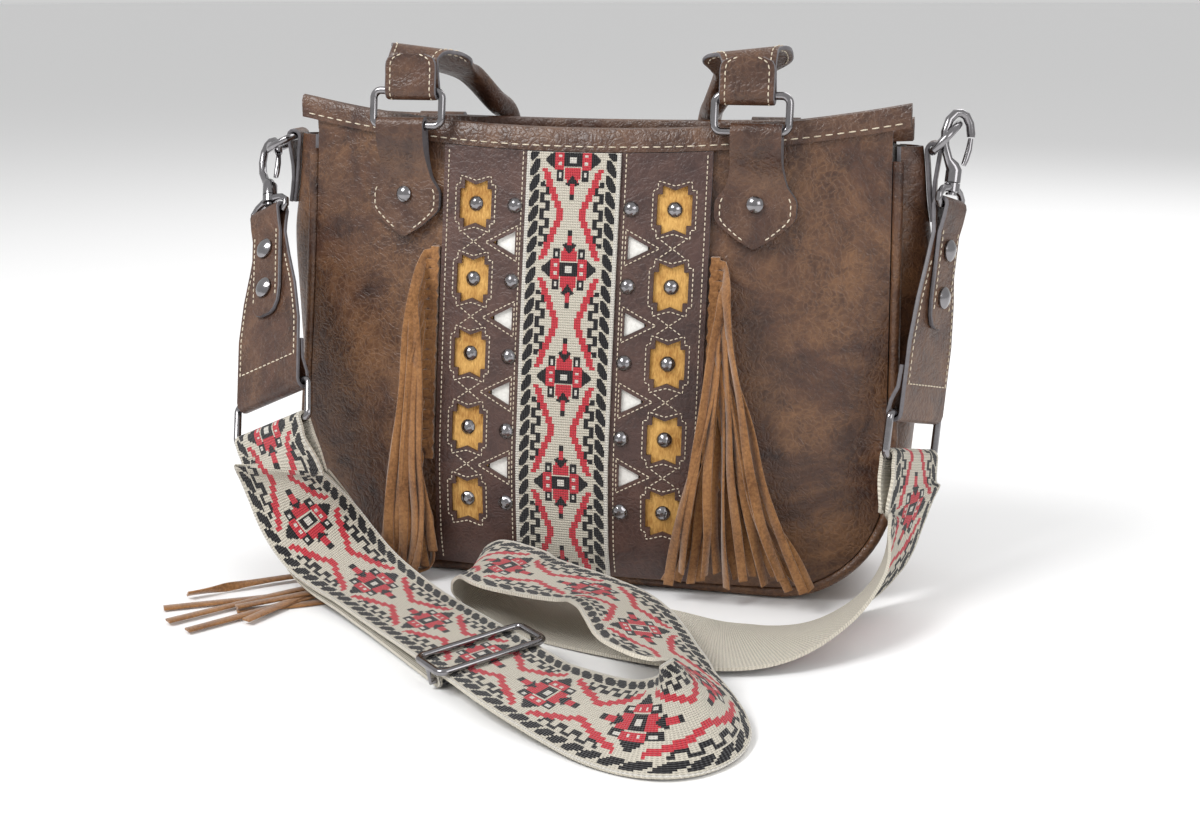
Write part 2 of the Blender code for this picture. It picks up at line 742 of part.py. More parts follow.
def front_handle_side():
    """Half of the front handle, from its sewn end: points, widths, thicknesses and squareness."""
    y, z = ring_top(-1)
    m = HANDLE_LOOP
    t = HANDLE_LEATHER
    flat = HANDLE_STRAP_WIDTH
    x = -HANDLE_X
    rows = [
        ((x, y - 0.6 * t, z + PATCH_RISE), flat * 0.55, t, 1),
        ((x, y - 0.65 * t, z + PATCH_RISE - 0.002), flat * 0.9, t, 1),
        ((x, y - 0.75 * t, z + PATCH_RISE - 0.006), flat, t, 1),
        ((x, y - 0.95 * t, z + 0.008), flat, t, 1),
    ]
    rows += [((x, ay, az), flat, t, 1) for ay, az in arc(y, z, m, 170, 370, 8)]
    rows += [
        ((x, y + 0.95 * t, z + 0.008), flat, t, 1),
        ((x, y + 0.75 * t, z + 0.014), flat, t, 1),
        ((x, y + 1.2 * t, z + PATCH_RISE - 0.002), flat, t, 1),
        ((x + 0.001, y + 0.0085, z + PATCH_RISE + 0.002), flat * 1.12, t, 1),
        ((x + 0.002, y + 0.017, z + PATCH_RISE + 0.0015), flat * 1.5, t, 1),
        ((x + 0.005, y + 0.026, z + PATCH_RISE - 0.003), HANDLE_LEAF_WIDTH, t, 1),
        ((x + 0.010, y + 0.036, z + PATCH_RISE - 0.008), HANDLE_LEAF_WIDTH * 0.72, 0.0040, 0.6),
        ((x + 0.017, y + 0.046, z + PATCH_RISE - 0.0125), HANDLE_LEAF_WIDTH * 0.42, 0.0085, 0.2),
    ]
    over = rim_height(1, FRONT_LEG_X) + HANDLE_TUBE / 2 + 0.0012
    behind = depth(FRONT_LEG_X, RIM_HEIGHT)
    tube = HANDLE_TUBE
    leg = -FRONT_LEG_X
    rows += [
        ((leg - 0.006, behind + 0.0015, over + 0.001), tube, tube, 0),
        ((leg - 0.002, behind + 0.0105, over - 0.0055), tube, tube, 0),
        ((leg, back_rest(leg, RIM_HEIGHT) + 0.0058, over - 0.018), tube, tube, 0),
        ((leg, back_rest(leg, 0.2) + 0.002, RIM_HEIGHT - 0.036), tube, tube, 0),
    ]
    for turn in np.radians(np.linspace(0, 90, 7)):
        ax = -FRONT_LEG_X * math.cos(turn)
        az = FRONT_ARCH_Z - FRONT_LEG_X * math.sin(turn)
        rows.append(((ax, back_rest(ax, az), az), tube, tube, 0))
    return rows


def back_handle_side():
    """Half of the back handle. It hangs flat against the back panel."""
    y, z = ring_top(1)
    m = HANDLE_LOOP
    t = HANDLE_LEATHER
    flat = HANDLE_STRAP_WIDTH
    x = -HANDLE_X
    rows = [
        ((x, y + 0.6 * t, z - PATCH_RISE), flat * 0.55, t, 1),
        ((x, y + 0.65 * t, z - PATCH_RISE + 0.002), flat * 0.9, t, 1),
        ((x, y + 0.75 * t, z - PATCH_RISE + 0.006), flat, t, 1),
        ((x, y + 0.95 * t, z - 0.008), flat, t, 1),
    ]
    rows += [((x, ay, az), flat, t, 1) for ay, az in arc(y, z, m, -10, 190, 8)]
    rows += [
        ((x, y - 0.95 * t, z - 0.008), flat, t, 1),
        ((x, y - 0.75 * t, z - 0.014), flat, t, 1),
        ((x, y - 0.3 * t, z - 0.024), flat * 1.2, t, 1),
    ]

    def rest(z_here, extra):
        return max_depth(x, z_here) + extra

    rows += [
        ((x, rest(z - 0.034, 0.0110), z - 0.034), HANDLE_LEAF_WIDTH, t, 1),
        ((x, rest(z - 0.046, 0.0085), z - 0.046), HANDLE_LEAF_WIDTH * 0.72, 0.0040, 0.6),
        ((x, rest(z - 0.058, 0.0080), z - 0.058), HANDLE_LEAF_WIDTH * 0.42, 0.0085, 0.2),
        ((x, back_rest(x, z - 0.070), z - 0.070), HANDLE_TUBE, HANDLE_TUBE, 0),
    ]
    for turn in np.radians(np.linspace(0, 90, 8)):
        ax = -HANDLE_X * math.cos(turn)
        az = BACK_ARCH_Z - HANDLE_X * math.sin(turn)
        rows.append(((ax, back_rest(ax, az), az), HANDLE_TUBE, HANDLE_TUBE, 0))
    return rows


def make_handle(name, rows, origin, leather):
    """A handle from one half, mirrored: the width direction starts along X at both ends."""
    points = [np.array(row[0], float) for row in rows]
    mirror = np.array((-1.0, 1.0, 1.0))
    whole = points + [p * mirror for p in points[-2::-1]]
    left = carried(whole, (1, 0, 0))[: len(points)]
    widths = left + [w * mirror for w in left[-2::-1]]
    sections = [oval(w, t, q, 10) for _, w, t, q in rows]
    sections = sections + sections[-2::-1]
    return solid(name, *sweep(whole, widths, sections), leather, origin=origin)


RING_LEAN = 0.003


def ring_foot(side):
    return loop_centre(side)


def ring_top(side):
    """The bar that a handle end goes round, (y, z): above the front rim, and hanging down at the back."""
    y, z = ring_foot(side)
    if side < 0:
        return y + RING_LEAN, z + RING_HEIGHT
    return y + 0.0095, z - RING_HEIGHT * 0.85


def make_handles(leather, metal):
    for side, face in ((-1, "front"), (1, "back")):
        foot, top = ring_foot(side), ring_top(side)
        direction = (0, top[0] - foot[0], top[1] - foot[1])
        height = math.hypot(direction[1], direction[2])
        for end, hand in ((-1, "left"), (1, "right")):
            x = end * (HANDLE_X + TAB_SHIFT)
            make_handle_tab(f"handle_tab_{face}_{hand}", side, x, leather)
            z = loop_centre(side)[1] - TAB_LENGTH * 0.62
            y = side * (depth(x, z) + SEAT + TAB_SHEET + 2 * GAP)
            make_cap(f"tab_rivet_{face}_{hand}", (x, y, z), panel_normal(side, x, z), 0.0042, metal)
            make_wire_loop(
                f"handle_ring_{face}_{hand}",
                rounded_loop(RING_WIDTH, height, 0.004),
                (end * (HANDLE_X + RING_SHIFT), *foot),
                (1, 0, 0),
                direction,
                WIRE,
                metal,
            )
        rows = front_handle_side() if side < 0 else back_handle_side()
        make_handle(f"{face}_handle", rows, (0, *top), leather)


class Chain:
    """One side's hook, chape and strap ring: places down the chain from the D-ring's wire."""

    def __init__(self, hand, top, bottom, turn_top, turn_low):
        self.hand = hand
        self.top = np.array(top, float)
        self.down = unit(np.array(bottom, float) - self.top)
        self.turn_top = turn_top
        self.turn_low = turn_low
        self.bar = -CHAPE_LEATHER / 2 - 0.00025 - CHAPE_LOOP  # the strap ring's place off the chain's line
        self.low = EYE_AT + CHAPE_LENGTH

    def across(self, a):
        turn = math.radians(self.turn_top if a < SWIVEL_AT else self.turn_low) * self.hand
        w = np.array((math.cos(turn), math.sin(turn), 0))
        return unit(w - np.dot(w, self.down) * self.down)

    def out(self, a):
        return np.cross(self.down, self.across(a))

    def at(self, a, b=0.0, n=0.0):
        return self.top + a * self.down + b * self.across(a) + n * self.out(a)


CHAPE_LOOP = WIRE + FIT + CHAPE_LEATHER / 2


D_RING_TILT = {1: 48, -1: -27}  # degrees above the horizontal: the left one hangs down
D_RING_SLIDE = -0.0022  # how far along the bow the hook sits


def d_ring_bow(hand):
    """The middle of the D-ring's bow, which the hook hangs from."""
    bx, bz = side_bar(hand)
    turn = math.radians(D_RING_TILT[hand])
    share = math.sqrt(1 - (2 * D_RING_SLIDE / D_RING_WIDTH) ** 2)
    reach = 0.0077 + (D_RING_HEIGHT - 0.007) * share
    return bx + hand * reach * math.cos(turn), SIDE_TAB_Y + D_RING_SLIDE, bz + reach * math.sin(turn)


def right_chain():
    return Chain(1, d_ring_bow(1), (0.1830, -0.0330, 0.098), 35, 67)


def left_chain():
    return Chain(-1, d_ring_bow(-1), (-0.1555, -0.083, 0.106), 35, 29)


def make_chape(name, chain, leather):
    """A strap end folded round the hook's eye, riveted, and folded again round the strap ring."""
    t = CHAPE_LEATHER
    lay = t / 2 + 0.00025
    eye, low, m = EYE_AT, chain.low, CHAPE_LOOP
    rows = [
        (eye + 0.062, lay, 0.008), (eye + 0.0605, lay, 0.014), (eye + 0.056, lay, 0.0195),
        (eye + 0.048, lay, CHAPE_TOP_WIDTH), (eye + 0.030, lay, CHAPE_TOP_WIDTH), (eye + 0.014, lay, CHAPE_TOP_WIDTH),
        (eye + 0.007, lay + 0.6 * (m - lay), CHAPE_TOP_WIDTH),
    ]
    for turn in np.radians(np.linspace(0, 180, 7)):
        rows.append((eye - m * math.sin(turn), m * math.cos(turn), CHAPE_TOP_WIDTH))
    rows += [
        (eye + 0.007, -lay - 0.6 * (m - lay), CHAPE_TOP_WIDTH), (eye + 0.014, -lay, CHAPE_TOP_WIDTH + 0.002),
        (eye + 0.030, -lay, CHAPE_TOP_WIDTH + 0.009), (eye + 0.048, -lay, CHAPE_WIDTH * 0.86),
        (eye + 0.070, -lay, CHAPE_WIDTH), (low - 0.012, -lay, CHAPE_WIDTH),
    ]
    bar = chain.bar
    for turn in np.radians(np.linspace(0, 180, 7)):
        rows.append((low + m * math.sin(turn), bar + m * math.cos(turn), CHAPE_WIDTH))
    rows += [
        (low - 0.006, bar - 0.75 * m, CHAPE_WIDTH), (low - 0.013, -3 * lay - 0.0006, CHAPE_WIDTH),
        (low - 0.024, -3 * lay, CHAPE_WIDTH),
    ]
    points = [chain.at(a, 0, n) for a, n, _ in rows]
    widths = [chain.across(a) for a, _, _ in rows]
    solid(name, *sweep(points, widths, [band(w, t) for _, _, w in rows]), leather)
    return lay


def make_hook(hand, chain, metal):
    """The pear-shaped hook, its gate, and the swivelling eye with the hook's post in its collar."""
    thick = WIRE * 1.1
    rows = [
        (0.0362, 0.0, 0.0027), (0.0350, 0.0, 0.0027), (0.0347, 0.0, 0.0014), (0.0300, 0.0, 0.0014),
        (0.0297, 0.0, 0.0040), (0.0235, 0.0, 0.0040), (0.0215, -0.0012, 0.0034), (0.0185, -0.0040, thick),
        (0.0120, -0.0070, thick), (0.0050, -0.0076, thick), (-0.0012, -0.0060, thick), (-0.0047, -0.0030, thick),
        (-0.0055, 0.0, thick), (-0.0045, 0.0032, thick), (-0.0008, 0.0060, thick), (0.0042, 0.0074, thick),
        (0.0058, 0.0075, thick * 0.9),
    ]
    points = [chain.at(a, b) for a, b, _ in rows]
    normal = chain.out(0)
    solid(
        f"hook_body_{hand}",
        *sweep(points, [normal] * len(rows), [circle(r, 8) for _, _, r in rows]),
        metal,
        origin=chain.at(0.0330),
    )
    gate = [(0.0064, 0.0075, 0.0013), (0.0120, 0.0072, 0.0016), (0.0170, 0.0062, 0.0016), (0.0202, 0.0052, 0.0013)]
    points = [chain.at(a, b) for a, b, _ in gate]
    solid(
        f"hook_gate_{hand}",
        *sweep(points, [normal] * len(gate), [circle(r, 6) for _, _, r in gate]),
        metal,
        origin=chain.at(0.0202, 0.0052),
    )
    half = EYE_WIDTH / 2
    top, bar = 0.0325, EYE_AT
    outline = [
        (0.0, top), (0.0045, top), (half * 0.75, top + 0.0015), (half, top + 0.0045), (half, bar - 0.002),
        (half - 0.002, bar), (half * 0.4, bar),
    ]
    ring = outline + [(-b, a) for b, a in reversed(outline[1:])]
    points = [chain.at(a, b) for b, a in ring]
    normal = chain.out(bar)
    radii = [0.0018 if abs(b) > 0.005 or a > bar - 0.001 else 0.0022 for b, a in ring]
    eye = solid(
        f"hook_eye_{hand}",
        *sweep(points, [normal] * len(ring), [circle(r, 6) for r in radii], closed=True),
        metal,
        origin=chain.at(EYE_AT),
    )
    for label, radius, start, end, operation in (
        ("collar", 0.0040, 0.0302, 0.0344, "UNION"), ("bore", 0.0018, 0.0290, 0.0360, "DIFFERENCE"),
    ):
        path = [chain.at(start), chain.at(end)]
        shape = sweep(path, [normal] * 2, [circle(radius, 10)] * 2)
        boolean(eye, helper(solid(f"eye_{label}_{hand}", *shape, metal)), operation)


SIDE_TAB_TOP = 0.231


def side_bar(hand):
    """The D-ring's straight bar, (x, z), in the loop of a side tab."""
    z = SIDE_TAB_TOP
    outer = half_width(z) + LEATHER / 2 + bulge(z, 0)
    return LEAN + hand * (outer + GAP + LOOP_SHEET + FIT + WIRE), z


def make_side_tab(name, hand, leather):
    """A strip doubled round the D-ring's bar and sewn to the top of the gusset."""
    bx, bz = side_bar(hand)
    rows = []
    for z in np.linspace(bz - SIDE_TAB_LENGTH, bz - 0.002, 6):
        outer = LEAN + hand * (half_width(z) + LEATHER / 2 + bulge(z, 0) + GAP + LOOP_SHEET / 2)
        rows.append((outer, z))
    for turn in np.radians(np.linspace(170, 10, 7)):
        rows.append((bx + hand * LOOP_RADIUS * math.cos(turn), bz + LOOP_RADIUS * math.sin(turn)))
    inner = list(reversed(rows[:5]))
    for share, (x, z) in zip((0.75, 0.25, 0, 0, 0), inner):
        rows.append((x + hand * (LOOP_SHEET + 0.0004 + share * 2 * (LOOP_RADIUS - LOOP_SHEET)), z))
    points = [(x, SIDE_TAB_Y, z) for x, z in rows]
    solid(name, *sweep(points, [(0, 1, 0)] * len(points), [band(SIDE_TAB_WIDTH, LOOP_SHEET)] * len(points)), leather)


def d_outline():
    """A D: its straight bar along u at v = 0 and its bow up to the full height."""
    half = D_RING_WIDTH / 2
    points = [(-half * 0.45, 0), (half * 0.45, 0), (half - 0.003, 0.0), (half - 0.0006, 0.0016), (half, 0.005)]
    bow = [(half * math.cos(t), 0.007 + (D_RING_HEIGHT - 0.007) * math.sin(t)) for t in np.radians(np.linspace(10, 170, 9))]
    return points + bow + [(-half, 0.005), (-half + 0.0006, 0.0016), (-half + 0.003, 0.0)]


def make_side(hand, name, chain, leather, metal):
    make_side_tab(f"side_tab_{name}", hand, leather)
    bx, bz = side_bar(hand)
    lean = (chain.top[0] - bx, 0, chain.top[2] - bz)
    make_wire_loop(f"d_ring_{name}", d_outline(), (bx, SIDE_TAB_Y, bz), (0, 1, 0), lean, WIRE, metal)
    make_hook(name, chain, metal)
    lay = make_chape(f"chape_{name}", chain, leather)
    for label, a in (("upper", EYE_AT + 0.022), ("lower", EYE_AT + 0.046)):
        seat = lay + CHAPE_LEATHER / 2 + 2 * GAP
        make_cap(f"chape_rivet_{label}_{name}", chain.at(a, 0, seat), chain.out(a), RIVET_RADIUS, metal)
    origin = chain.at(chain.low, 0, chain.bar)
    make_wire_loop(
        f"strap_ring_{name}",
        rounded_loop(STRAP_RING_WIDTH, STRAP_RING_HEIGHT, 0.0035),
        origin,
        chain.across(chain.low),
        chain.down,
        WIRE,
        metal,
    )


# The strap's middle line from the left ring to the right one: x, y, z, then its width direction.
STRAP_ROUTE = (
    (-0.1425, -0.0960, 0.0620, 0.86, -0.15, 0.40),
    (-0.1345, -0.0935, 0.0450, 0.82, 0.16, 0.42),
    (-0.1210, -0.0940, 0.0290, 0.76, 0.45, 0.28),
    (-0.1035, -0.1010, 0.0180, 0.70, 0.63, 0.14),
    (-0.0840, -0.1125, 0.0120, 0.69, 0.71, 0.07),
    (-0.0610, -0.1310, 0.0092, 0.68, 0.72, 0.05),
    (-0.0365, -0.1530, 0.0092, 0.68, 0.72, 0.06),
    (-0.0215, -0.1670, 0.0096, 0.68, 0.72, 0.07),
    (-0.0065, -0.1810, 0.0100, 0.68, 0.72, 0.08),
    (0.0085, -0.1950, 0.0104, 0.68, 0.72, 0.09),
    (0.0280, -0.2125, 0.0105, 0.64, 0.75, 0.12),
    (0.0555, -0.2300, 0.0100, 0.48, 0.82, 0.28),
    (0.0770, -0.2430, 0.0120, 0.22, 0.85, 0.45),
    (0.0950, -0.2480, 0.0155, -0.12, 0.75, 0.62),
    (0.1080, -0.2400, 0.0180, -0.50, 0.40, 0.72),
    (0.1110, -0.2250, 0.0190, -0.68, 0.02, 0.70),
    (0.1030, -0.2110, 0.0215, -0.74, -0.32, 0.58),
    (0.0880, -0.2000, 0.0250, -0.80, -0.48, 0.35),
    (0.0750, -0.1860, 0.0265, -0.83, -0.52, 0.22),
    (0.0660, -0.1690, 0.0270, -0.83, -0.52, 0.20),
    (0.0560, -0.1510, 0.0275, -0.80, -0.56, 0.20),
    (0.0430, -0.1370, 0.0280, -0.66, -0.73, 0.15),
    (0.0270, -0.1295, 0.0280, -0.42, -0.90, 0.06),
    (0.0100, -0.1230, 0.0280, -0.25, -0.97, 0.00),
    (-0.0080, -0.1150, 0.0280, -0.22, -0.97, -0.05),
    (-0.0190, -0.1045, 0.0275, -0.12, -0.98, -0.04),
    (-0.0295, -0.0985, 0.0260, -0.05, -0.98, 0.00),
    (-0.0375, -0.0945, 0.0205, 0.05, -0.98, 0.00),
    (-0.0400, -0.0930, 0.0135, 0.08, -0.98, 0.00),
    (-0.0365, -0.0930, 0.0060, 0.05, -0.97, 0.00),
    (-0.0240, -0.0950, 0.0020, -0.05, -0.97, 0.00),
    (-0.0050, -0.1020, 0.0016, -0.15, -0.97, 0.00),
    (0.0200, -0.1140, 0.0025, -0.20, -0.97, -0.05),
    (0.0570, -0.1260, 0.0060, -0.15, -0.97, -0.16),
    (0.0920, -0.1330, 0.0055, 0.05, -0.98, -0.10),
    (0.1180, -0.1250, 0.0050, 0.45, -0.88, 0.00),
    (0.1410, -0.1060, 0.0080, 0.55, -0.75, 0.30),
    (0.1570, -0.0840, 0.0150, 0.45, -0.65, 0.55),
    (0.1670, -0.0640, 0.0240, 0.10, -0.75, 0.65),
    (0.1735, -0.0490, 0.0360, -0.18, -0.80, 0.55),
    (0.1775, -0.0410, 0.0480, -0.34, -0.92, 0.18),
)
SLIDER_POINT = 8
STRAP_LOOP = WIRE + FIT + STRAP_SHEET / 2
SLIDER_LOOP = WIRE * 0.75 + GAP + STRAP_SHEET / 2
SLIDER_BAR = STRAP_SHEET + GAP + SLIDER_LOOP  # the slider's middle bar, below the strap's middle
UNDER_LAYER = 0.0044  # from the strap's middle to the middle of its return layer


def ring_loop(chain, leaving, towards):
    """Strap stations over a ring's lower bar, from behind it to in front, with the strap's width there."""
    bar = chain.at(chain.low + STRAP_RING_HEIGHT, 0, chain.bar)
    across = chain.across(chain.low)
    away = np.array(towards, float) - bar
    away = unit(away - np.dot(away, across) * across)
    out = np.cross(away, across)
    m = STRAP_LOOP
    stations = [(0.012, -m * 1.05, 180), (0.004, -m, 180)]
    for turn in range(180, -1, -30):
        stations.append((-m * math.sin(math.radians(turn)), m * math.cos(math.radians(turn)), turn))
    stations += [(0.004, m, 0), (0.012, m + 0.0003, 0), (0.020, m + 0.0006, 0)]
    rows = []
    for a, n, degrees in stations:
        turn = math.radians(degrees)
        normal = math.cos(turn) * out - math.sin(turn) * away
        rows.append(np.concatenate([bar + a * away + n * out, across * leaving, normal]))
    return rows


def on_floor(rows, below):
    """The strap's stations, each raised until its lowest edge and the layer below it clear the floor."""
    along = tangents(rows[:, :3])
    lifts = []
    for row, t, layer in zip(rows, along, below):
        w = unit(row[3:] - np.dot(row[3:], t) * t)
        n = np.cross(t, w)
        lowest = row[2] - abs(w[2]) * STRAP_WIDTH / 2 - abs(n[2]) * STRAP_SHEET / 2 - max(n[2], 0) * layer
        lifts.append(max(0.0, 2 * GAP - lowest))
    raised = rows.copy()
    high = [max(lifts[max(i - 6, 0) : i + 7]) for i in range(len(lifts))]
    for i in range(3, len(rows) - 3):
        raised[i, 2] += np.mean(high[max(i - 6, 0) : i + 7]) * min(1, (i - 2) / 3, (len(rows) - 3 - i) / 3)
    return raised


def ribbon(rows):
    """The webbing's closed shape from rows of its middle point, width direction and face direction."""
    vertices = []
    for row in rows:
        vertices += [tuple(row[:3] + a * row[3:6] + b * row[6:]) for a, b in band(STRAP_WIDTH, STRAP_SHEET)]
    faces = [(0, 1, 2, 3), tuple(range(len(vertices) - 4, len(vertices)))]
    for i in range(0, len(vertices) - 4, 4):
        faces += [(i + j, i + (j + 1) % 4, i + 4 + (j + 1) % 4, i + 4 + j) for j in range(4)]
    return vertices, faces


def under_drop(stations_left):
    """How far the return layer lies below the strap: further as it nears the slider's bar."""
    near = min(max(1 - stations_left / 11, 0.0), 1.0)
    return UNDER_LAYER + near * (SLIDER_BAR + SLIDER_LOOP - UNDER_LAYER)


def make_strap(left, right, webbing, metal):
    """One length of webbing: from the slider back under itself, round the left ring, along the floor and up."""
    start = ring_loop(left, 1, STRAP_ROUTE[0][:3])
    end = ring_loop(right, -1, STRAP_ROUTE[-1][:3])[::-1]
    upper = smooth_route([start[-1][:6], *STRAP_ROUTE, end[0][:6]], 132)
    slider = np.array(STRAP_ROUTE[SLIDER_POINT][:3])
    reach = int(np.argmin(np.linalg.norm(upper[:, :3] - slider, axis=1)))
    drops = [under_drop(reach - i) if i <= reach + 1 else 0.0 for i in range(len(upper))]
    upper = on_floor(upper, drops)
    along = tangents(upper[:, :3])
    width = np.array([unit(w - np.dot(w, t) * t) for w, t in zip(upper[:, 3:], along)])
    face = np.cross(along, width)
    under = []
    for i in range(1, reach - 1):
        under.append(np.concatenate([upper[i, :3] - under_drop(reach - i) * face[i], width[i], -face[i]]))
    for turn in np.radians(np.linspace(-90, 90, 7)):
        radial = math.cos(turn) * along[reach] + math.sin(turn) * face[reach]
        place = upper[reach, :3] - SLIDER_BAR * face[reach] + SLIDER_LOOP * radial
        under.append(np.concatenate([place, width[reach], radial]))
    end_place = upper[reach, :3] - (SLIDER_BAR - SLIDER_LOOP) * face[reach] - 0.010 * along[reach]
    under.append(np.concatenate([end_place, width[reach], face[reach]]))
    tail = [np.concatenate([upper[i, :3] - UNDER_LAYER * face[i], width[i], -face[i]]) for i in (-1, -2, -3, -4)]
    middle = [np.concatenate([row[:3], w, n]) for row, w, n in zip(upper, width, face)]
    solid("strap_webbing", *ribbon(under[::-1] + start[:-1] + middle + end[1:] + tail), webbing)
    make_slider(upper[reach, :3], width[reach], along[reach], face[reach], metal)


def make_slider(centre, u, v, out, metal):
    """A frame over the strap and a middle bar under it, which the strap's end goes round."""
    radius = WIRE * 0.85
    width, height = STRAP_WIDTH + 0.0060, 0.024
    clear = STRAP_SHEET / 2 + radius + 2 * GAP
    slider = make_wire_loop(
        "strap_slider", rounded_loop(width, height, 0.004), centre - v * height / 2 + out * clear, u, v, radius, metal
    )
    low = -SLIDER_BAR
    bar = [(-width / 2, clear), (-width / 2, low), (width / 2, low), (width / 2, clear)]
    points = [centre + a * u + n * out for a, n in bar]
    shape = sweep(points, [v] * 4, [circle(WIRE * 0.75)] * 4)
    boolean(slider, helper(solid("slider_bar", *shape, metal)), "UNION")


FRINGE_REACH = {-1: (0.002, 0.012, 0.000), 1: (0.006, 0.034, 0.002)}  # sideways, at the floor, at the end


def strip_route(side, share, layer):
    """One fringe strip: out of the sewn edge, down in its own layer, and forward over the floor."""
    x0 = side * (OVERLAY_WIDTH / 2 + 0.003)
    z0 = FRINGE_TOP - 0.006 - share * (FRINGE_BASE - 0.012)
    off = 0.0036 + layer * (STRIP_SHEET + 0.0006)
    first, last, after = FRINGE_REACH[side]
    spread = side * (first + (last - first) * share)
    points = [(x0 + side * 0.0005, -depth(x0, z0) - 0.0030, z0), (x0 + side * 0.0055, -depth(x0, z0) - 0.0032, z0)]
    for drop in (0.09, 0.25, 0.5, 0.75):
        z = z0 * (1 - drop) + 0.010 * drop
        x = x0 + side * 0.0085 + spread * drop
        points.append((x, -depth(x0, z) - off - 0.002 * drop, z))
    if side < 0:
        return points  # the strap lies in front of the left fringe's lower ends
    x = x0 + side * 0.0085 + spread
    ahead = depth(x0, 0.02) + off + 0.010
    points.append((x, -ahead - 0.004, 0.004 + layer * 0.0019))
    points.append((x + side * after, -ahead - 0.022, 0.0015 + layer * 0.0019))
    return points


def make_fringe(name, side, suede):
    """A comb of suede: a sewn edge beside the overlay and strips that hang from it."""
    x0 = side * (OVERLAY_WIDTH / 2 + 0.0014)
    outer, inner = [], []
    for z in np.linspace(FRINGE_TOP - FRINGE_BASE, FRINGE_TOP, 6):
        places = (x0, x0 + side * 0.0045)
        outer.append([(x, -depth(x, z) - SEAT - 0.0040, z) for x in places])
        inner.append([(x, -depth(x, z) - SEAT, z) for x in places])
    base = solid(name, *slab(outer, inner), suede)
    for i in range(FRINGE_STRIPS):
        route = smooth_route(strip_route(side, i / (FRINGE_STRIPS - 1), FRINGE_STRIPS - 1 - i), 11)
        turned = np.clip((np.linspace(0, 1, len(route)) - 0.04) * 6, 0, 1)
        widths = [unit((1 - s) * np.array((0, 0, 1.0)) + s * np.array((side, 0, 0))) for s in turned]
        shape = sweep(route, widths, [band(STRIP_WIDTH, STRIP_SHEET)] * len(route))
        boolean(base, helper(solid(f"{name}_strip_{i}", *shape, suede)), "UNION")


def clear_scene():
    for old in list(bpy.data.objects):
        bpy.data.objects.remove(old, do_unlink=True)


def main():
    clear_scene()
    brown = material("distressed_leather", (0.130, 0.062, 0.032), 0.42)
    trim = material("trim_leather", (0.100, 0.050, 0.030), 0.40)
    overlay = material("overlay_leather", (0.085, 0.043, 0.033), 0.40)
    cloth = material("lining_cloth", (0.045, 0.035, 0.030), 0.85)
    board = material("base_board", (0.060, 0.050, 0.040), 0.80)
    hide = material("tan_hide", (0.500, 0.270, 0.070), 0.75)
    white = material("white_leather", (0.800, 0.790, 0.760), 0.50)
    webbing = material("woven_webbing", (0.700, 0.160, 0.150), 0.85)
    suede = material("tan_suede", (0.380, 0.190, 0.070), 0.95)
    metal = material("dark_nickel", (0.330, 0.320, 0.330), 0.25, 1.0)
    make_body(brown, cloth, board)
    make_bindings(trim)
    make_front(overlay, hide, white, webbing)
    make_handles(trim, metal)
    left, right = left_chain(), right_chain()
    make_side(-1, "left", left, trim, metal)
    make_side(1, "right", right, trim, metal)
    make_strap(left, right, webbing, metal)
    make_fringe("fringe_left", -1, suede)
    make_fringe("fringe_right", 1, suede)


main()
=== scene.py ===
"""The looks of a distressed-leather tote with a woven band, hide inlays, suede fringes and a woven strap.
"""

import math
import random

import bmesh
import bpy
import numpy as np
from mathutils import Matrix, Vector


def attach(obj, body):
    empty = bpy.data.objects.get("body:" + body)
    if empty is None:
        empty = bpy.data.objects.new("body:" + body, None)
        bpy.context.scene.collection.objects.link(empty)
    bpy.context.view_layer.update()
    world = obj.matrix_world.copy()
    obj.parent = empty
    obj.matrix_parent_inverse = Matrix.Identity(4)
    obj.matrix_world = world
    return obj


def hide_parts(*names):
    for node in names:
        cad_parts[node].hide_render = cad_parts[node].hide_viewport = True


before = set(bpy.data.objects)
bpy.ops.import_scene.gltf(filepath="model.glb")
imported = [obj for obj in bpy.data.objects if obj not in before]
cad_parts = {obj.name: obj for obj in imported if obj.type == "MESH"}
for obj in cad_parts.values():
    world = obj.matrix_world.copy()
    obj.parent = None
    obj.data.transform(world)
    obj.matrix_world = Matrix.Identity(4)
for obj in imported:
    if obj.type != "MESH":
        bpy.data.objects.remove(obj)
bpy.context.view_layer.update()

# Body
RIM_HEIGHT = 0.241
RIM_RISE = 0.013
BASE_WIDTH = 0.330
TOP_WIDTH = 0.316
BELLY_DEPTH = 0.116
BASE_SEAM_DEPTH = 0.092
RIM_DEPTH = 0.054
RIM_SEAM_DEPTH = 0.024
CORNER_RADIUS = 0.058
LEAN = 0.005
LEATHER = 0.0020
PIPING_RADIUS = 0.00275
SEAM_Z = 0.0034
GUSSET_BULGE = 0.016
GUSSET_TOP = 0.2332
PIPING_TOP = 0.226
LINING = 0.0008
LINING_GAP = 0.0010
GAP = 0.0003
SEAT = 0.0005
BINDING_HEIGHT = 0.012
BINDING_HALF = 0.0042
BINDING_OVERHANG = 0.006

# Decorated middle
OVERLAY_WIDTH = 0.144
OVERLAY_SHEET = 0.0014
INLAY_SHEET = 0.0008
RIBBON_WIDTH = 0.050
RIBBON_SHEET = 0.0016
ROWS = 5
TOP_ROW = 0.201
ROW_PITCH = 0.0388
INLAY_X = 0.0535
STUD_X = 0.0312
STUD_RADIUS = 0.0040
INLAY_WIDTH = 0.018
INLAY_HEIGHT = 0.0155
INLAY_STEP = 0.0065
INLAY_TAB = 0.0046
TRIANGLE_X = 0.0365
TRIANGLE_HALF = 0.0062

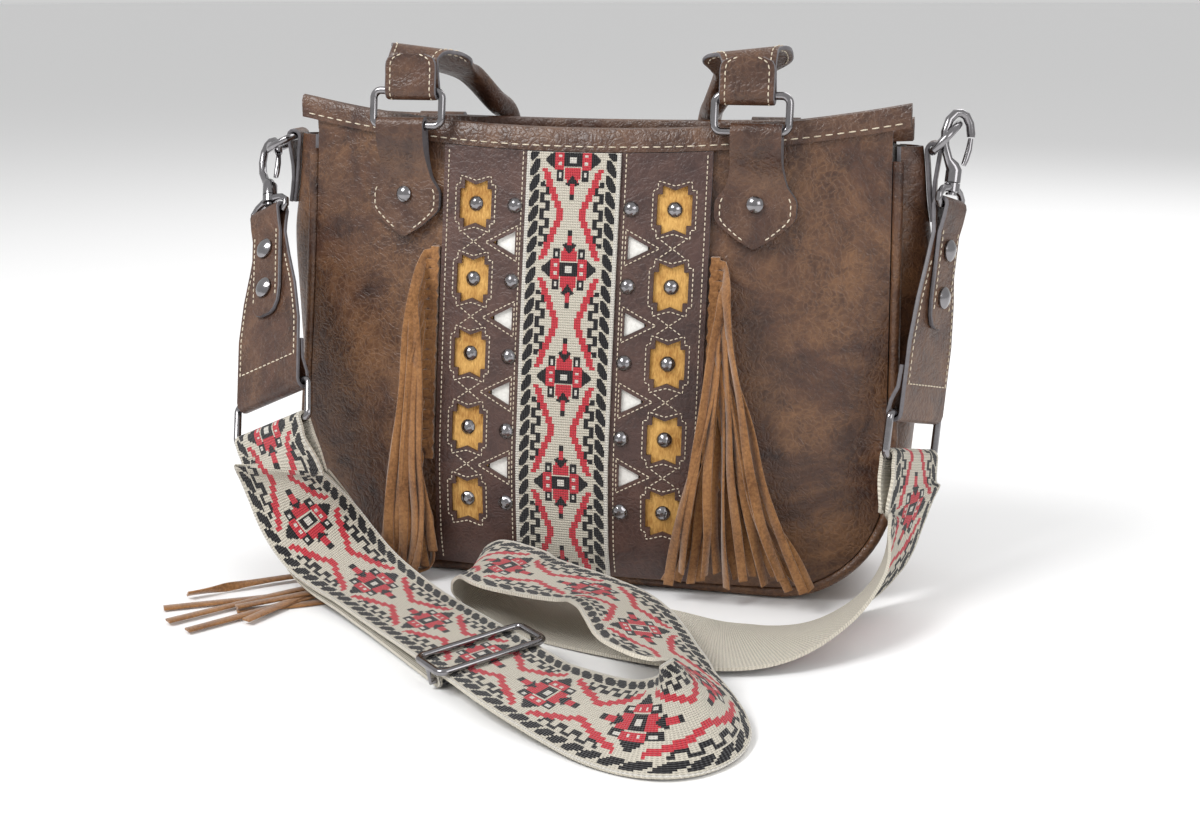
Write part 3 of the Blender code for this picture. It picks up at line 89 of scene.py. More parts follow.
# Handles, rings and tabs
HANDLE_X = 0.089
RING_SHIFT = 0.0025
TAB_SHIFT = 0.0055
HANDLE_STRAP_WIDTH = 0.028
HANDLE_LEAF_WIDTH = 0.047
HANDLE_LEATHER = 0.0024
HANDLE_TUBE = 0.0126
WIRE = 0.0020
RING_WIDTH = 0.038
RING_HEIGHT = 0.018
TAB_WIDTH = 0.041
TAB_NECK = 0.026
TAB_SHEET = 0.0044
TAB_LENGTH = 0.058
LOOP_SHEET = 0.0020
FIT = 0.0005

# Side hardware and strap
SIDE_TAB_WIDTH = 0.0128
SIDE_TAB_Y = 0.0032
SIDE_TAB_LENGTH = 0.036
SIDE_TAB_TOP = 0.231
D_RING_WIDTH = 0.027
D_RING_HEIGHT = 0.0175
D_RING_TILT = {1: 48, -1: -27}  # degrees above the horizontal: the left one hangs down
D_RING_SLIDE = -0.0022  # how far along the bow the hook sits
EYE_WIDTH = 0.026
EYE_AT = 0.042
SWIVEL_AT = 0.031
CHAPE_LENGTH = 0.106
CHAPE_TOP_WIDTH = 0.022
CHAPE_WIDTH = 0.047
CHAPE_LEATHER = 0.0022
STRAP_RING_WIDTH = 0.0548
STRAP_RING_HEIGHT = 0.022
STRAP_WIDTH = 0.049
STRAP_SHEET = 0.0018
RIVET_RADIUS = 0.0055

# Fringe
STRIP_WIDTH = 0.0062
STRIP_SHEET = 0.0013
FRINGE_TOP = 0.178
FRINGE_BASE = 0.112

random.seed(7)


def nodes_of(name, roughness, metallic=0.0):
    made = bpy.data.materials.new(name)
    made.use_nodes = True
    shader = made.node_tree.nodes["Principled BSDF"]
    shader.inputs["Roughness"].default_value = roughness
    shader.inputs["Metallic"].default_value = metallic
    return made, made.node_tree.nodes, made.node_tree.links, shader


def ramp(nodes, links, source, stops):
    made = nodes.new("ShaderNodeValToRGB")
    elements = made.color_ramp.elements
    while len(elements) < len(stops):
        elements.new(0.5)
    for element, (place, colour) in zip(elements, stops):
        element.position = place
        element.color = (*colour, 1.0)
    links.new(source, made.inputs["Fac"])
    return made.outputs["Color"]


def noise(nodes, links, place, scale, detail=4.0, roughness=0.55, distortion=0.0):
    made = nodes.new("ShaderNodeTexNoise")
    made.inputs["Scale"].default_value = scale
    made.inputs["Detail"].default_value = detail
    made.inputs["Roughness"].default_value = roughness
    made.inputs["Distortion"].default_value = distortion
    links.new(place, made.inputs["Vector"])
    return made


def mixed(nodes, links, factor, a, b, kind="MIX"):
    made = nodes.new("ShaderNodeMix")
    made.data_type = "RGBA"
    made.blend_type = kind
    if isinstance(factor, float):
        made.inputs["Factor"].default_value = factor
    else:
        links.new(factor, made.inputs["Factor"])
    for socket, value in ((made.inputs["A"], a), (made.inputs["B"], b)):
        if isinstance(value, tuple):
            socket.default_value = (*value, 1.0)
        else:
            links.new(value, socket)
    return made.outputs["Result"]


def bump(nodes, links, height, strength, distance, below=None):
    made = nodes.new("ShaderNodeBump")
    made.inputs["Strength"].default_value = strength
    made.inputs["Distance"].default_value = distance
    links.new(height, made.inputs["Height"])
    if below is not None:
        links.new(below, made.inputs["Normal"])
    return made.outputs["Normal"]


def leather(name, dark, mid, worn, roughness=0.40, wear=0.5, grain=420.0):
    """Pull-up leather: a pebbled grain, creases, and lighter tan where the finish has cracked."""
    made, nodes, links, shader = nodes_of(name, roughness)
    place = nodes.new("ShaderNodeTexCoord").outputs["Object"]
    warp = noise(nodes, links, place, 70.0, 4.0)
    shift = nodes.new("ShaderNodeVectorMath")
    shift.operation = "MULTIPLY_ADD"
    links.new(warp.outputs["Color"], shift.inputs[0])
    shift.inputs[1].default_value = (0.016, 0.016, 0.016)
    links.new(place, shift.inputs[2])
    bent = shift.outputs["Vector"]
    cracks = nodes.new("ShaderNodeTexVoronoi")
    cracks.feature = "DISTANCE_TO_EDGE"
    cracks.inputs["Scale"].default_value = 300.0
    links.new(bent, cracks.inputs["Vector"])
    lines = ramp(
        nodes, links, cracks.outputs["Distance"],
        ((0.0, (1, 1, 1)), (0.10, (0.45, 0.45, 0.45)), (0.30, (0, 0, 0))),
    )
    patches = noise(nodes, links, place, 21.0, 6.0, 0.66, 1.1)
    zones = ramp(nodes, links, patches.outputs["Fac"], ((0.38, (0, 0, 0)), (0.68, (1, 1, 1))))
    mottling = noise(nodes, links, bent, 62.0, 6.0, 0.65, 0.4)
    base = ramp(nodes, links, mottling.outputs["Fac"], ((0.30, dark), (0.62, mid)))
    faded = ramp(nodes, links, mottling.outputs["Fac"], ((0.35, mid), (0.70, worn)))
    rubbed = nodes.new("ShaderNodeMath")
    rubbed.operation = "MULTIPLY"
    links.new(zones, rubbed.inputs[0])
    rubbed.inputs[1].default_value = wear
    base = mixed(nodes, links, rubbed.outputs["Value"], base, faded)
    cracked = nodes.new("ShaderNodeMath")
    cracked.operation = "MULTIPLY"
    links.new(lines, cracked.inputs[0])
    links.new(zones, cracked.inputs[1])
    half = nodes.new("ShaderNodeMath")
    half.operation = "MULTIPLY"
    links.new(cracked.outputs["Value"], half.inputs[0])
    half.inputs[1].default_value = 0.62 * wear + 0.12
    colour = mixed(nodes, links, half.outputs["Value"], base, worn)
    links.new(colour, shader.inputs["Base Color"])
    pebbles = nodes.new("ShaderNodeTexVoronoi")
    pebbles.feature = "SMOOTH_F1"
    pebbles.inputs["Scale"].default_value = grain
    links.new(bent, pebbles.inputs["Vector"])
    fine = bump(nodes, links, pebbles.outputs["Distance"], 0.30, 0.0004)
    creased = bump(nodes, links, lines, 0.35, 0.0005, fine)
    creased.node.invert = True
    soft = bump(nodes, links, patches.outputs["Fac"], 0.45, 0.0030, creased)
    links.new(soft, shader.inputs["Normal"])
    shine = nodes.new("ShaderNodeMapRange")
    links.new(mottling.outputs["Fac"], shine.inputs["Value"])
    shine.inputs["To Min"].default_value = roughness - 0.07
    shine.inputs["To Max"].default_value = roughness + 0.16
    links.new(shine.outputs["Result"], shader.inputs["Roughness"])
    shader.inputs["Specular IOR Level"].default_value = 0.55
    return made


def fibrous(name, dark, light, roughness, scale=900.0, stretch=(1, 1, 1), depth_of=0.0004, sheen=0.35):
    """Suede, short hair, cloth or thread: fine streaks of two tones with a soft sheen."""
    made, nodes, links, shader = nodes_of(name, roughness)
    place = nodes.new("ShaderNodeTexCoord").outputs["Object"]
    mapping = nodes.new("ShaderNodeMapping")
    mapping.inputs["Scale"].default_value = stretch
    links.new(place, mapping.inputs["Vector"])
    streaks = noise(nodes, links, mapping.outputs["Vector"], scale, 3.0, 0.6)
    broad = noise(nodes, links, place, 45.0, 4.0, 0.6)
    blend = nodes.new("ShaderNodeMath")
    blend.operation = "MULTIPLY_ADD"
    links.new(streaks.outputs["Fac"], blend.inputs[0])
    blend.inputs[1].default_value = 0.5
    half = nodes.new("ShaderNodeMath")
    half.operation = "MULTIPLY"
    links.new(broad.outputs["Fac"], half.inputs[0])
    half.inputs[1].default_value = 0.5
    links.new(half.outputs["Value"], blend.inputs[2])
    colour = ramp(nodes, links, blend.outputs["Value"], ((0.36, dark), (0.62, light)))
    links.new(colour, shader.inputs["Base Color"])
    links.new(bump(nodes, links, streaks.outputs["Fac"], 0.6, depth_of), shader.inputs["Normal"])
    shader.inputs["Sheen Weight"].default_value = sheen
    shader.inputs["Sheen Roughness"].default_value = 0.5
    shader.inputs["Specular IOR Level"].default_value = 0.25
    return made


def metal(name, colour, roughness):
    made, nodes, links, shader = nodes_of(name, roughness, 1.0)
    place = nodes.new("ShaderNodeTexCoord").outputs["Object"]
    smudges = noise(nodes, links, place, 160.0, 4.0)
    tone = ramp(
        nodes, links, smudges.outputs["Fac"], ((0.3, tuple(c * 0.82 for c in colour)), (0.7, colour))
    )
    links.new(tone, shader.inputs["Base Color"])
    shine = nodes.new("ShaderNodeMapRange")
    links.new(smudges.outputs["Fac"], shine.inputs["Value"])
    shine.inputs["To Min"].default_value = roughness * 0.7
    shine.inputs["To Max"].default_value = roughness * 1.5
    links.new(shine.outputs["Result"], shader.inputs["Roughness"])
    return made


def painted(name, colour, roughness=0.5):
    """The sealed, painted cut edge of leather, slightly lumpy."""
    made, nodes, links, shader = nodes_of(name, roughness)
    place = nodes.new("ShaderNodeTexCoord").outputs["Object"]
    lumps = noise(nodes, links, place, 300.0, 3.0)
    tone = ramp(nodes, links, lumps.outputs["Fac"], ((0.3, tuple(c * 0.75 for c in colour)), (0.7, colour)))
    links.new(tone, shader.inputs["Base Color"])
    links.new(bump(nodes, links, lumps.outputs["Fac"], 0.3, 0.0003), shader.inputs["Normal"])
    return made


def woven(name):
    """Webbing that takes each yarn's colour from the mesh and its ribs from the cloth's own coordinates, with
    painted shade in the hollows between the ribs.
    """
    made, nodes, links, shader = nodes_of(name, 0.82)
    yarn = nodes.new("ShaderNodeVertexColor")
    yarn.layer_name = "yarn"
    cloth = nodes.new("ShaderNodeUVMap")
    cloth.uv_map = "cloth"
    grain = noise(nodes, links, cloth.outputs["UV"], 2.2, 3.0, 0.7)
    tone = ramp(nodes, links, grain.outputs["Fac"], ((0.25, (0.70, 0.70, 0.70)), (0.65, (1.0, 1.0, 1.0))))
    colour = mixed(nodes, links, 1.0, yarn.outputs["Color"], tone, "MULTIPLY")
    links.new(colour, shader.inputs["Base Color"])
    heights = []
    for direction, scale, twist in (("X", 0.33, 0.4), ("Y", 0.24, 0.5)):
        wave = nodes.new("ShaderNodeTexWave")
        wave.bands_direction = direction
        wave.inputs["Scale"].default_value = scale
        wave.inputs["Distortion"].default_value = twist
        wave.inputs["Detail Scale"].default_value = 2.0
        links.new(cloth.outputs["UV"], wave.inputs["Vector"])
        heights.append(wave.outputs["Fac"])
    both = nodes.new("ShaderNodeMath")
    both.operation = "ADD"
    links.new(heights[0], both.inputs[0])
    links.new(heights[1], both.inputs[1])
    # Painted shade: the colour is darkened in the low places between the ribs, the hollows where shade would
    # fall.
    painted_rib_shade = ramp(nodes, links, both.outputs["Value"], ((0.15, (0.62, 0.62, 0.62)), (0.95, (1.0, 1.0, 1.0))))
    links.new(mixed(nodes, links, 1.0, colour, painted_rib_shade, "MULTIPLY"), shader.inputs["Base Color"])
    ribs = bump(nodes, links, both.outputs["Value"], 0.8, 0.0006)
    links.new(bump(nodes, links, grain.outputs["Fac"], 0.35, 0.0003, ribs), shader.inputs["Normal"])
    shader.inputs["Sheen Weight"].default_value = 0.25
    shader.inputs["Specular IOR Level"].default_value = 0.2
    return made


BROWN = leather(
    "distressed_leather", (0.030, 0.0125, 0.0080), (0.082, 0.034, 0.018), (0.260, 0.128, 0.054), 0.33, 0.68,
)
TRIM = leather(
    "trim_leather", (0.030, 0.0130, 0.0085), (0.075, 0.032, 0.019), (0.200, 0.105, 0.054), 0.33, 0.60,
)
OVERLAY = leather(
    "overlay_leather", (0.030, 0.0140, 0.0120), (0.066, 0.030, 0.024), (0.140, 0.072, 0.050), 0.40, 0.36,
)
EDGE = painted("painted_edge", (0.150, 0.140, 0.150))
THREAD = fibrous("pale_thread", (0.52, 0.43, 0.31), (0.80, 0.71, 0.56), 0.7, 1800.0)
SUEDE = fibrous("tan_suede", (0.150, 0.062, 0.020), (0.360, 0.172, 0.062), 0.95, 700.0, sheen=0.5)
HIDE = fibrous(
    "tan_hide", (0.340, 0.150, 0.028), (0.700, 0.410, 0.120), 0.75, 520.0, (2.2, 2.2, 0.5), 0.0006,
)
WHITE = fibrous("white_leather", (0.68, 0.66, 0.62), (0.86, 0.85, 0.81), 0.55, 500.0, sheen=0.1)
CLOTH = fibrous("lining_cloth", (0.020, 0.016, 0.013), (0.060, 0.048, 0.040), 0.9, 1500.0)
BOARD = fibrous("base_board", (0.030, 0.024, 0.020), (0.070, 0.058, 0.048), 0.9, 1500.0)
METAL = metal("dark_nickel", (0.30, 0.29, 0.30), 0.15)
WEAVE = woven("woven_webbing")


# Shapes
MOVING = (
    "handle_ring_front_left", "handle_ring_front_right", "handle_ring_back_left", "handle_ring_back_right",
    "front_handle", "back_handle", "hook_gate_left", "hook_gate_right",
)


def add(name, vertices, faces, finish, replaced=(), body="bag", smooth=35, marks=None, extra=()):
    """A shown piece: closed mesh, its material, the CAD body that it rides on and the nodes it stands for."""
    mesh = bpy.data.meshes.new(name)
    mesh.from_pydata([tuple(v) for v in vertices], [], faces)
    mesh.materials.append(finish)
    for other in extra:
        mesh.materials.append(other)
    if marks is not None:
        mesh.polygons.foreach_set("material_index", marks)
    shape = bmesh.new()
    shape.from_mesh(mesh)
    bmesh.ops.recalc_face_normals(shape, faces=shape.faces)
    shape.to_mesh(mesh)
    shape.free()
    mesh.shade_smooth()
    mesh.set_sharp_from_angle(angle=math.radians(smooth))
    made = bpy.data.objects.new(name, mesh)
    bpy.context.scene.collection.objects.link(made)
    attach(made, body)
    if replaced:
        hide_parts(*replaced)
    return made


def unit(v):
    v = np.array(v, float)
    return v / np.linalg.norm(v)


def smooth_table(pairs):
    """A smooth curve through (place, value) pairs, which doesn't overshoot them."""
    xs = np.array([p[0] for p in pairs], float)
    ys = np.array([p[1] for p in pairs], float)
    slopes = np.diff(ys) / np.diff(xs)
    ends = np.empty(len(xs))
    ends[0] = slopes[0]
    ends[-1] = slopes[-1]
    for i in range(1, len(xs) - 1):
        before = slopes[i - 1]
        after = slopes[i]
        ends[i] = 0.0 if before * after <= 0 else 2 * before * after / (before + after)

    def value(x):
        x = min(max(x, xs[0]), xs[-1])
        i = min(int(np.searchsorted(xs, x, side="right")) - 1, len(xs) - 2)
        step = xs[i + 1] - xs[i]
        t = (x - xs[i]) / step
        return (
            ys[i] * (1 + 2 * t) * (1 - t) ** 2
            + ends[i] * step * t * (1 - t) ** 2
            + ys[i + 1] * t * t * (3 - 2 * t)
            + ends[i + 1] * step * t * t * (t - 1)
        )

    return value


def smooth_route(points, count):
    """Evenly spaced points of a smooth curve through the route's own points; further columns go along."""
    points = np.array(points, float)
    padded = np.vstack([2 * points[0] - points[1], points, 2 * points[-1] - points[-2]])
    spans = len(points) - 1
    fine = []
    for i in range(spans):
        a, b, c, d = padded[i : i + 4]
        for t in np.linspace(0, 1, 16, endpoint=False):
            fine.append(
                0.5
                * (2 * b + (c - a) * t + (2 * a - 5 * b + 4 * c - d) * t**2 + (3 * b - a - 3 * c + d) * t**3)
            )
    fine.append(padded[spans + 1])
    fine = np.array(fine)
    along = np.concatenate([[0], np.cumsum(np.linalg.norm(np.diff(fine[:, :3], axis=0), axis=1))])
    wanted = np.linspace(0, along[-1], count)
    return np.stack([np.interp(wanted, along, fine[:, k]) for k in range(fine.shape[1])], axis=1)


def band_faces(first, last, k):
    """Faces between neighbouring closed rings of k points, from ring first to ring last."""
    faces = []
    for i in range(first, last):
        for j in range(k):
            up = (j + 1) % k
            faces.append((i * k + j, i * k + up, (i + 1) * k + up, (i + 1) * k + j))
    return faces


def slab(outer, inner):
    """Closed solid between two grids of points of one size. Also returns which faces are its cut edges."""
    outer = np.array(outer, float)
    inner = np.array(inner, float)
    rows, columns = outer.shape[:2]
    vertices = np.concatenate([outer.reshape(-1, 3), inner.reshape(-1, 3)])
    half = rows * columns

    def at(layer, i, j):
        return layer * half + i * columns + j

    faces = []
    for i in range(rows - 1):
        for j in range(columns - 1):
            faces.append((at(0, i, j), at(0, i, j + 1), at(0, i + 1, j + 1), at(0, i + 1, j)))
            faces.append((at(1, i, j), at(1, i + 1, j), at(1, i + 1, j + 1), at(1, i, j + 1)))
    cut = len(faces)
    for j in range(columns - 1):
        for i in (0, rows - 1):
            faces.append((at(0, i, j), at(1, i, j), at(1, i, j + 1), at(0, i, j + 1)))
    for i in range(rows - 1):
        for j in (0, columns - 1):
            faces.append((at(0, i, j), at(0, i + 1, j), at(1, i + 1, j), at(1, i, j)))
    return vertices, faces, [0] * cut + [1] * (len(faces) - cut)


def circle(radius, sides=18):
    turns = [2 * math.pi * (k + 0.5) / sides for k in range(sides)]
    return [(radius * math.cos(t), radius * math.sin(t)) for t in turns]


def sheet_section(width, thickness):
    """A strip's section with eased corners: its cut edges are the segments in CUT_SEGMENTS."""
    w, t = width / 2, thickness / 2
    e = t * 0.45
    return [
        (-w, -t + e), (-w + e, -t), (w - e, -t), (w, -t + e), (w, t - e), (w - e, t), (-w + e, t),
        (-w, t - e),
    ]


CUT_SEGMENTS = (0, 2, 3, 4, 6, 7)


def oval(width, thickness, squareness, sides=32):
    power = 2 / (2 + 6 * squareness)
    points = []
    for k in range(sides):
        turn = 2 * math.pi * (k + 0.5) / sides
        c, s = math.cos(turn), math.sin(turn)
        points.append(
            (
                width / 2 * math.copysign(abs(c) ** power, c),
                thickness / 2 * math.copysign(abs(s) ** power, s),
            )
        )
    return points


def tangents(points, closed=False):
    points = np.array(points, float)
    steps = np.roll(
        points, -1, axis=0,
    ) - np.roll(points, 1, axis=0) if closed else np.gradient(points, axis=0)
    return steps / np.linalg.norm(steps, axis=1)[:, None]


def sweep(points, widths, sections, closed=False, cut=()):
    """A section carried along points. Returns vertices, faces and marks of the segments in cut."""
    points = np.array(points, float)
    along = tangents(points, closed)
    vertices = []
    for point, t, w, section in zip(points, along, widths, sections):
        w = unit(np.array(w, float) - np.dot(w, t) * t)
        n = np.cross(t, w)
        vertices += [point + a * w + b * n for a, b in section]
    k = len(sections[0])
    count = len(points)
    faces, marks = [], []
    for i in range(count if closed else count - 1):
        after = (i + 1) % count
        for j in range(k):
            up = (j + 1) % k
            faces.append((i * k + j, i * k + up, after * k + up, after * k + j))
            marks.append(1 if j in cut else 0)
    if not closed:
        faces.append(tuple(range(k)))
        faces.append(tuple((count - 1) * k + j for j in range(k)))
        marks += [1 if cut else 0] * 2
    return vertices, faces, marks


def carried(points, first):
    along = tangents(points)
    w = np.array(first, float)
    out = []
    for t in along:
        w = unit(w - np.dot(w, t) * t)
        out.append(w)
    return out


def joined(parts):
    vertices, faces, marks = [], [], []
    for part in parts:
        start = len(vertices)
        vertices += list(part[0])
        faces += [tuple(start + i for i in face) for face in part[1]]
        marks += list(part[2]) if len(part) > 2 else [0] * len(part[1])
    return vertices, faces, marks


def stitch(a, b, normal, radius):
    """One stitch: a short pillow of thread from a to b that bows slightly off the leather."""
    t = unit(b - a)
    side = unit(np.cross(t, normal))
    up = np.cross(side, t)
    vertices = [a - 0.4 * radius * up]
    for share, grow in ((0.12, 0.75), (0.5, 1.0), (0.88, 0.75)):
        middle = a + share * (b - a) + up * radius * 0.35 * grow
        for c, s in circle(radius * grow, 6):
            vertices.append(middle + c * side + s * up)
    vertices.append(b - 0.4 * radius * up)
    faces = []
    for j in range(6):
        after = (j + 1) % 6
        faces.append((0, 1 + after, 1 + j))
        for ring in (0, 1):
            faces.append((1 + ring * 6 + j, 1 + ring * 6 + after, 7 + ring * 6 + after, 7 + ring * 6 + j))
        faces.append((19, 13 + j, 13 + after))
    return vertices, faces


def stitches(lines, pitch, radius):
    """Stitches along lines of (points, normals)."""
    parts = []
    for points, normals in lines:
        points = np.array(points, float)
        normals = np.array(normals, float)
        along = np.concatenate([[0], np.cumsum(np.linalg.norm(np.diff(points, axis=0), axis=1))])
        count = max(int(round(along[-1] / pitch)), 1)
        for k in range(count):
            ends = (np.array([0.14, 0.86]) + k) * along[-1] / count
            a, b = (np.array([np.interp(e, along, points[:, c]) for c in range(3)]) for e in ends)
            middle = ends.mean()
            n = unit([np.interp(middle, along, normals[:, c]) for c in range(3)])
            parts.append(stitch(a, b, n, radius))
    return joined(parts)


def solid(name, vertices, faces, *rest, smooth=True):
    """A shown piece in place of the CAD node of this name."""
    marks = rest[0] if len(rest) == 2 else None
    finish = rest[-1]
    extra = (EDGE,) if marks is not None else ()
    body = name if name in MOVING else "bag"
    return add(f"{name}_skin", vertices, faces, finish, (name,), body,
               35 if smooth else 20, marks, extra)


def raw_solid(name, vertices, faces, *rest):
    """A plain closed mesh, for a boolean."""
    mesh = bpy.data.meshes.new(name)
    mesh.from_pydata([tuple(v) for v in vertices], [], faces)
    shape = bmesh.new()
    shape.from_mesh(mesh)
    bmesh.ops.recalc_face_normals(shape, faces=shape.faces)
    shape.to_mesh(mesh)
    shape.free()
    made = bpy.data.objects.new(name, mesh)
    bpy.context.scene.collection.objects.link(made)
    return made


def boolean(target, other, operation):
    """Cut or join another solid with a piece, then drop the other solid."""
    step = target.modifiers.new("step", "BOOLEAN")
    step.operation = operation
    step.solver = "EXACT"
    step.object = other
    graph = bpy.context.evaluated_depsgraph_get()
    result = bpy.data.meshes.new_from_object(target.evaluated_get(graph))
    target.modifiers.clear()
    target.data = result
    bpy.data.objects.remove(other, do_unlink=True)


# The body's surface
DEPTH_SHARE = smooth_table(
    ((0, 0.72), (0.12, 0.97), (0.25, 1.0), (0.42, 0.84), (0.62, 0.58), (0.83, 0.26), (1.0, 0.0))
)
SEAM_SHARE = smooth_table(((0, 1.0), (0.25, 0.63), (0.42, 0.44), (0.62, 0.25), (0.83, 0.09), (1.0, 0.0)))
BULGE_SHARE = smooth_table(
    ((0, 0.1), (0.15, 0.2), (0.35, 0.5), (0.55, 0.8), (0.74, 1.0), (0.86, 0.8), (0.96, 0.68), (1.0, 0.5))
)


def half_width(z):
    share = min(max(z / RIM_HEIGHT, 0), 1)
    return (BASE_WIDTH + (TOP_WIDTH - BASE_WIDTH) * share) / 2


def centre_depth(z):
    return RIM_DEPTH / 2 + (BELLY_DEPTH - RIM_DEPTH) / 2 * DEPTH_SHARE(z / RIM_HEIGHT)


def seam_depth(z):
    return RIM_SEAM_DEPTH / 2 + (BASE_SEAM_DEPTH - RIM_SEAM_DEPTH) / 2 * SEAM_SHARE(z / RIM_HEIGHT)


def outline_half(z, inset=0.0):
    """Half the panel's width at a height: straight sides and round lower corners."""
    corner = SEAM_Z + CORNER_RADIUS
    full = half_width(max(z, corner)) - inset
    if z >= corner:
        return full
    radius = CORNER_RADIUS - inset
    return full - radius + math.sqrt(max(radius**2 - (corner - z) ** 2, 0))


def depth(x, z):
    """How far the outer face of a panel is from the bag's middle plane."""
    u = (x - LEAN) / outline_half(max(z, SEAM_Z))
    crown = max(1 - u * u, 0.0)
    return seam_depth(z) + (centre_depth(z) - seam_depth(z)) * crown


def rim_height(side, x):
    share = min(abs(x - LEAN) / (TOP_WIDTH / 2), 1.06)
    if side < 0:
        return RIM_HEIGHT + RIM_RISE * share**2.2
    return RIM_HEIGHT + 0.001 + RIM_RISE * 0.35 * share**2


PANEL_COLUMNS = 71


def panel_rows(inset):
    """Heights of a panel's rows, close together round the lower corners."""
    corner = SEAM_Z + CORNER_RADIUS
    low = [corner - (CORNER_RADIUS - inset) * math.cos(t) for t in np.linspace(0, math.pi / 2, 22)]
    return low + list(np.linspace(corner, RIM_HEIGHT - BINDING_HEIGHT, 50)[1:]) + [RIM_HEIGHT]


def panel_grid(side, inward, inset, drop):
    """A grid over the front or back panel, this far inside its outer face, from edge to edge."""
    rows = []
    heights = panel_rows(inset)
    for z0 in heights:
        share = (z0 - heights[0]) / (RIM_HEIGHT - heights[0])
        row = []
        for u in np.sin(np.linspace(-math.pi / 2, math.pi / 2, PANEL_COLUMNS)):
            x = LEAN + outline_half(z0, inset) * u
            z = z0 + (rim_height(side, x) - drop - RIM_HEIGHT) * share**4
            row.append((x, side * (depth(x, z) - inward), z))
        rows.append(row)
    return rows


def seam_path(count, top, inset=0.0):
    """Points (x, z) and outward directions down one side seam, along the base and up the other."""
    corner_z = SEAM_Z + CORNER_RADIUS
    radius = CORNER_RADIUS - inset
    stations = []
    for z in np.linspace(top, corner_z, count, endpoint=False):
        stations.append((-half_width(z) + inset, z, -1.0, 0.0))
    centre = half_width(corner_z) - CORNER_RADIUS
    for t in np.linspace(0, math.pi / 2, 20)[:-1]:
        stations.append(
            (-centre - radius * math.cos(t), corner_z - radius * math.sin(t), -math.cos(t), -math.sin(t))
        )
    for x in np.linspace(-centre, 0, 16):
        stations.append((x, SEAM_Z + inset, 0.0, -1.0))
    mirrored = [(-x, z, -nx, nz) for x, z, nx, nz in stations[-2::-1]]
    return [(x + LEAN, z, nx, nz) for x, z, nx, nz in stations + mirrored]


def bulge(z, nz):
    """How far the gusset swells beyond the seams: on the sides a lot, under the base a little."""
    side = GUSSET_BULGE * BULGE_SHARE(z / RIM_HEIGHT)
    under = SEAM_Z - LEATHER / 2
    return side * (1 + min(nz, 0)) + under * max(-nz, 0)


def gusset_grid(outward):
    rows = []
    for x, z, nx, nz in seam_path(40, GUSSET_TOP):
        row = []
        edge = seam_depth(z) - LEATHER / 2 - PIPING_RADIUS - GAP
        power = 2 + 6 * max(-nz, 0)
        for t in np.sin(np.linspace(-math.pi / 2, math.pi / 2, 19)):
            out = outward + bulge(z, nz) * (1 - abs(t) ** power)
            row.append((x + nx * out, edge * t, z + nz * out))
        rows.append(row)
    return rows


def make_body(leather, lining_cloth, board):
    edge = PIPING_RADIUS + GAP
    cover = BINDING_HEIGHT * 0.3
    for side, name in ((-1, "front_panel"), (1, "back_panel")):
        solid(
            name, *slab(panel_grid(side, 0, edge, cover), panel_grid(side, LEATHER, edge, cover)), leather,
        )
    solid("gusset", *slab(gusset_grid(LEATHER / 2), gusset_grid(-LEATHER / 2)), leather)
    for side, name in ((-1, "front_piping"), (1, "back_piping")):
        path = [(x, side * (seam_depth(z) - LEATHER / 2), z) for x, z, _, _ in seam_path(48, PIPING_TOP)]
        widths = [(0, 1, 0)] * len(path)
        solid(name, *sweep(path, widths, [circle(PIPING_RADIUS)] * len(path)), leather)
    make_lining(lining_cloth)
    half = BASE_WIDTH / 2 - CORNER_RADIUS - 0.004
    deep = BASE_SEAM_DEPTH / 2 - LEATHER - LINING - 0.006
    bottom = LINING_BOTTOM + LINING + GAP
    corners = [(LEAN + sx * half, sy * deep) for sx, sy in ((-1, -1), (1, -1), (1, 1), (-1, 1))]
    vertices = [(x, y, bottom) for x, y in corners] + [(x, y, bottom + LEATHER) for x, y in corners]
    faces = [(0, 1, 2, 3), (4, 5, 6, 7), (0, 1, 5, 4), (1, 2, 6, 5), (2, 3, 7, 6), (3, 0, 4, 7)]
    solid("base_board", vertices, faces, board, smooth=False)


LINING_BOTTOM = SEAM_Z + PIPING_RADIUS + GAP


def lining_ring(z0, share, inset):
    """One closed ring of the lining, inset from the panels and the gusset."""
    inward = LEATHER + LINING_GAP + inset
    half = outline_half(z0, PIPING_RADIUS + 2 * GAP + inset)
    ring = []
    for side in (-1, 1):
        for u in np.sin(np.linspace(-math.pi / 2, math.pi / 2, PANEL_COLUMNS)):
            u = u if side < 0 else -u
            x = LEAN + half * u
            top = GUSSET_TOP if abs(u) > 0.98 else rim_height(side, x) - BINDING_HEIGHT * 0.3
            z = z0 + (top - RIM_HEIGHT) * share**4
            ring.append((x, side * (depth(x, z) - inward), z))
        end = 1 if side < 0 else -1
        for t in np.linspace(-0.9, 0.9, 9):
            t = t if side < 0 else -t
            swell = 0.85 * bulge(z0, 0) * (1 - t * t) * (1 if z0 > SEAM_Z + CORNER_RADIUS else 0.3)
            reach = seam_depth(z0) - inward - PIPING_RADIUS
            z = z0 + (GUSSET_TOP - RIM_HEIGHT) * share**4
            ring.append((LEAN + end * (half + swell), reach * t, z))
    return ring


def make_lining(cloth):
    """A cloth bag inside the leather one, open at the top: outer rings upward, then inner rings downward."""
    rings = []
    for inset, order in ((0.0, 1), (LINING, -1)):
        low = LINING_BOTTOM + inset
        shares = np.linspace(0, 1, 40) ** 1.3
        heights = [low + s * (RIM_HEIGHT - low) for s in shares]
        layer = [lining_ring(z, (z - heights[0]) / (RIM_HEIGHT - heights[0]), inset) for z in heights]
        rings += layer[::order]
    k = len(rings[0])
    vertices = [v for ring in rings for v in ring]
    faces = band_faces(0, len(rings) - 1, k)
    for i, z in ((0, LINING_BOTTOM), (len(rings) - 1, LINING_BOTTOM + LINING)):
        vertices.append((LEAN, 0, z))
        for j in range(k):
            faces.append((i * k + j, i * k + (j + 1) % k, len(vertices) - 1))
    solid("lining", vertices, faces, cloth)


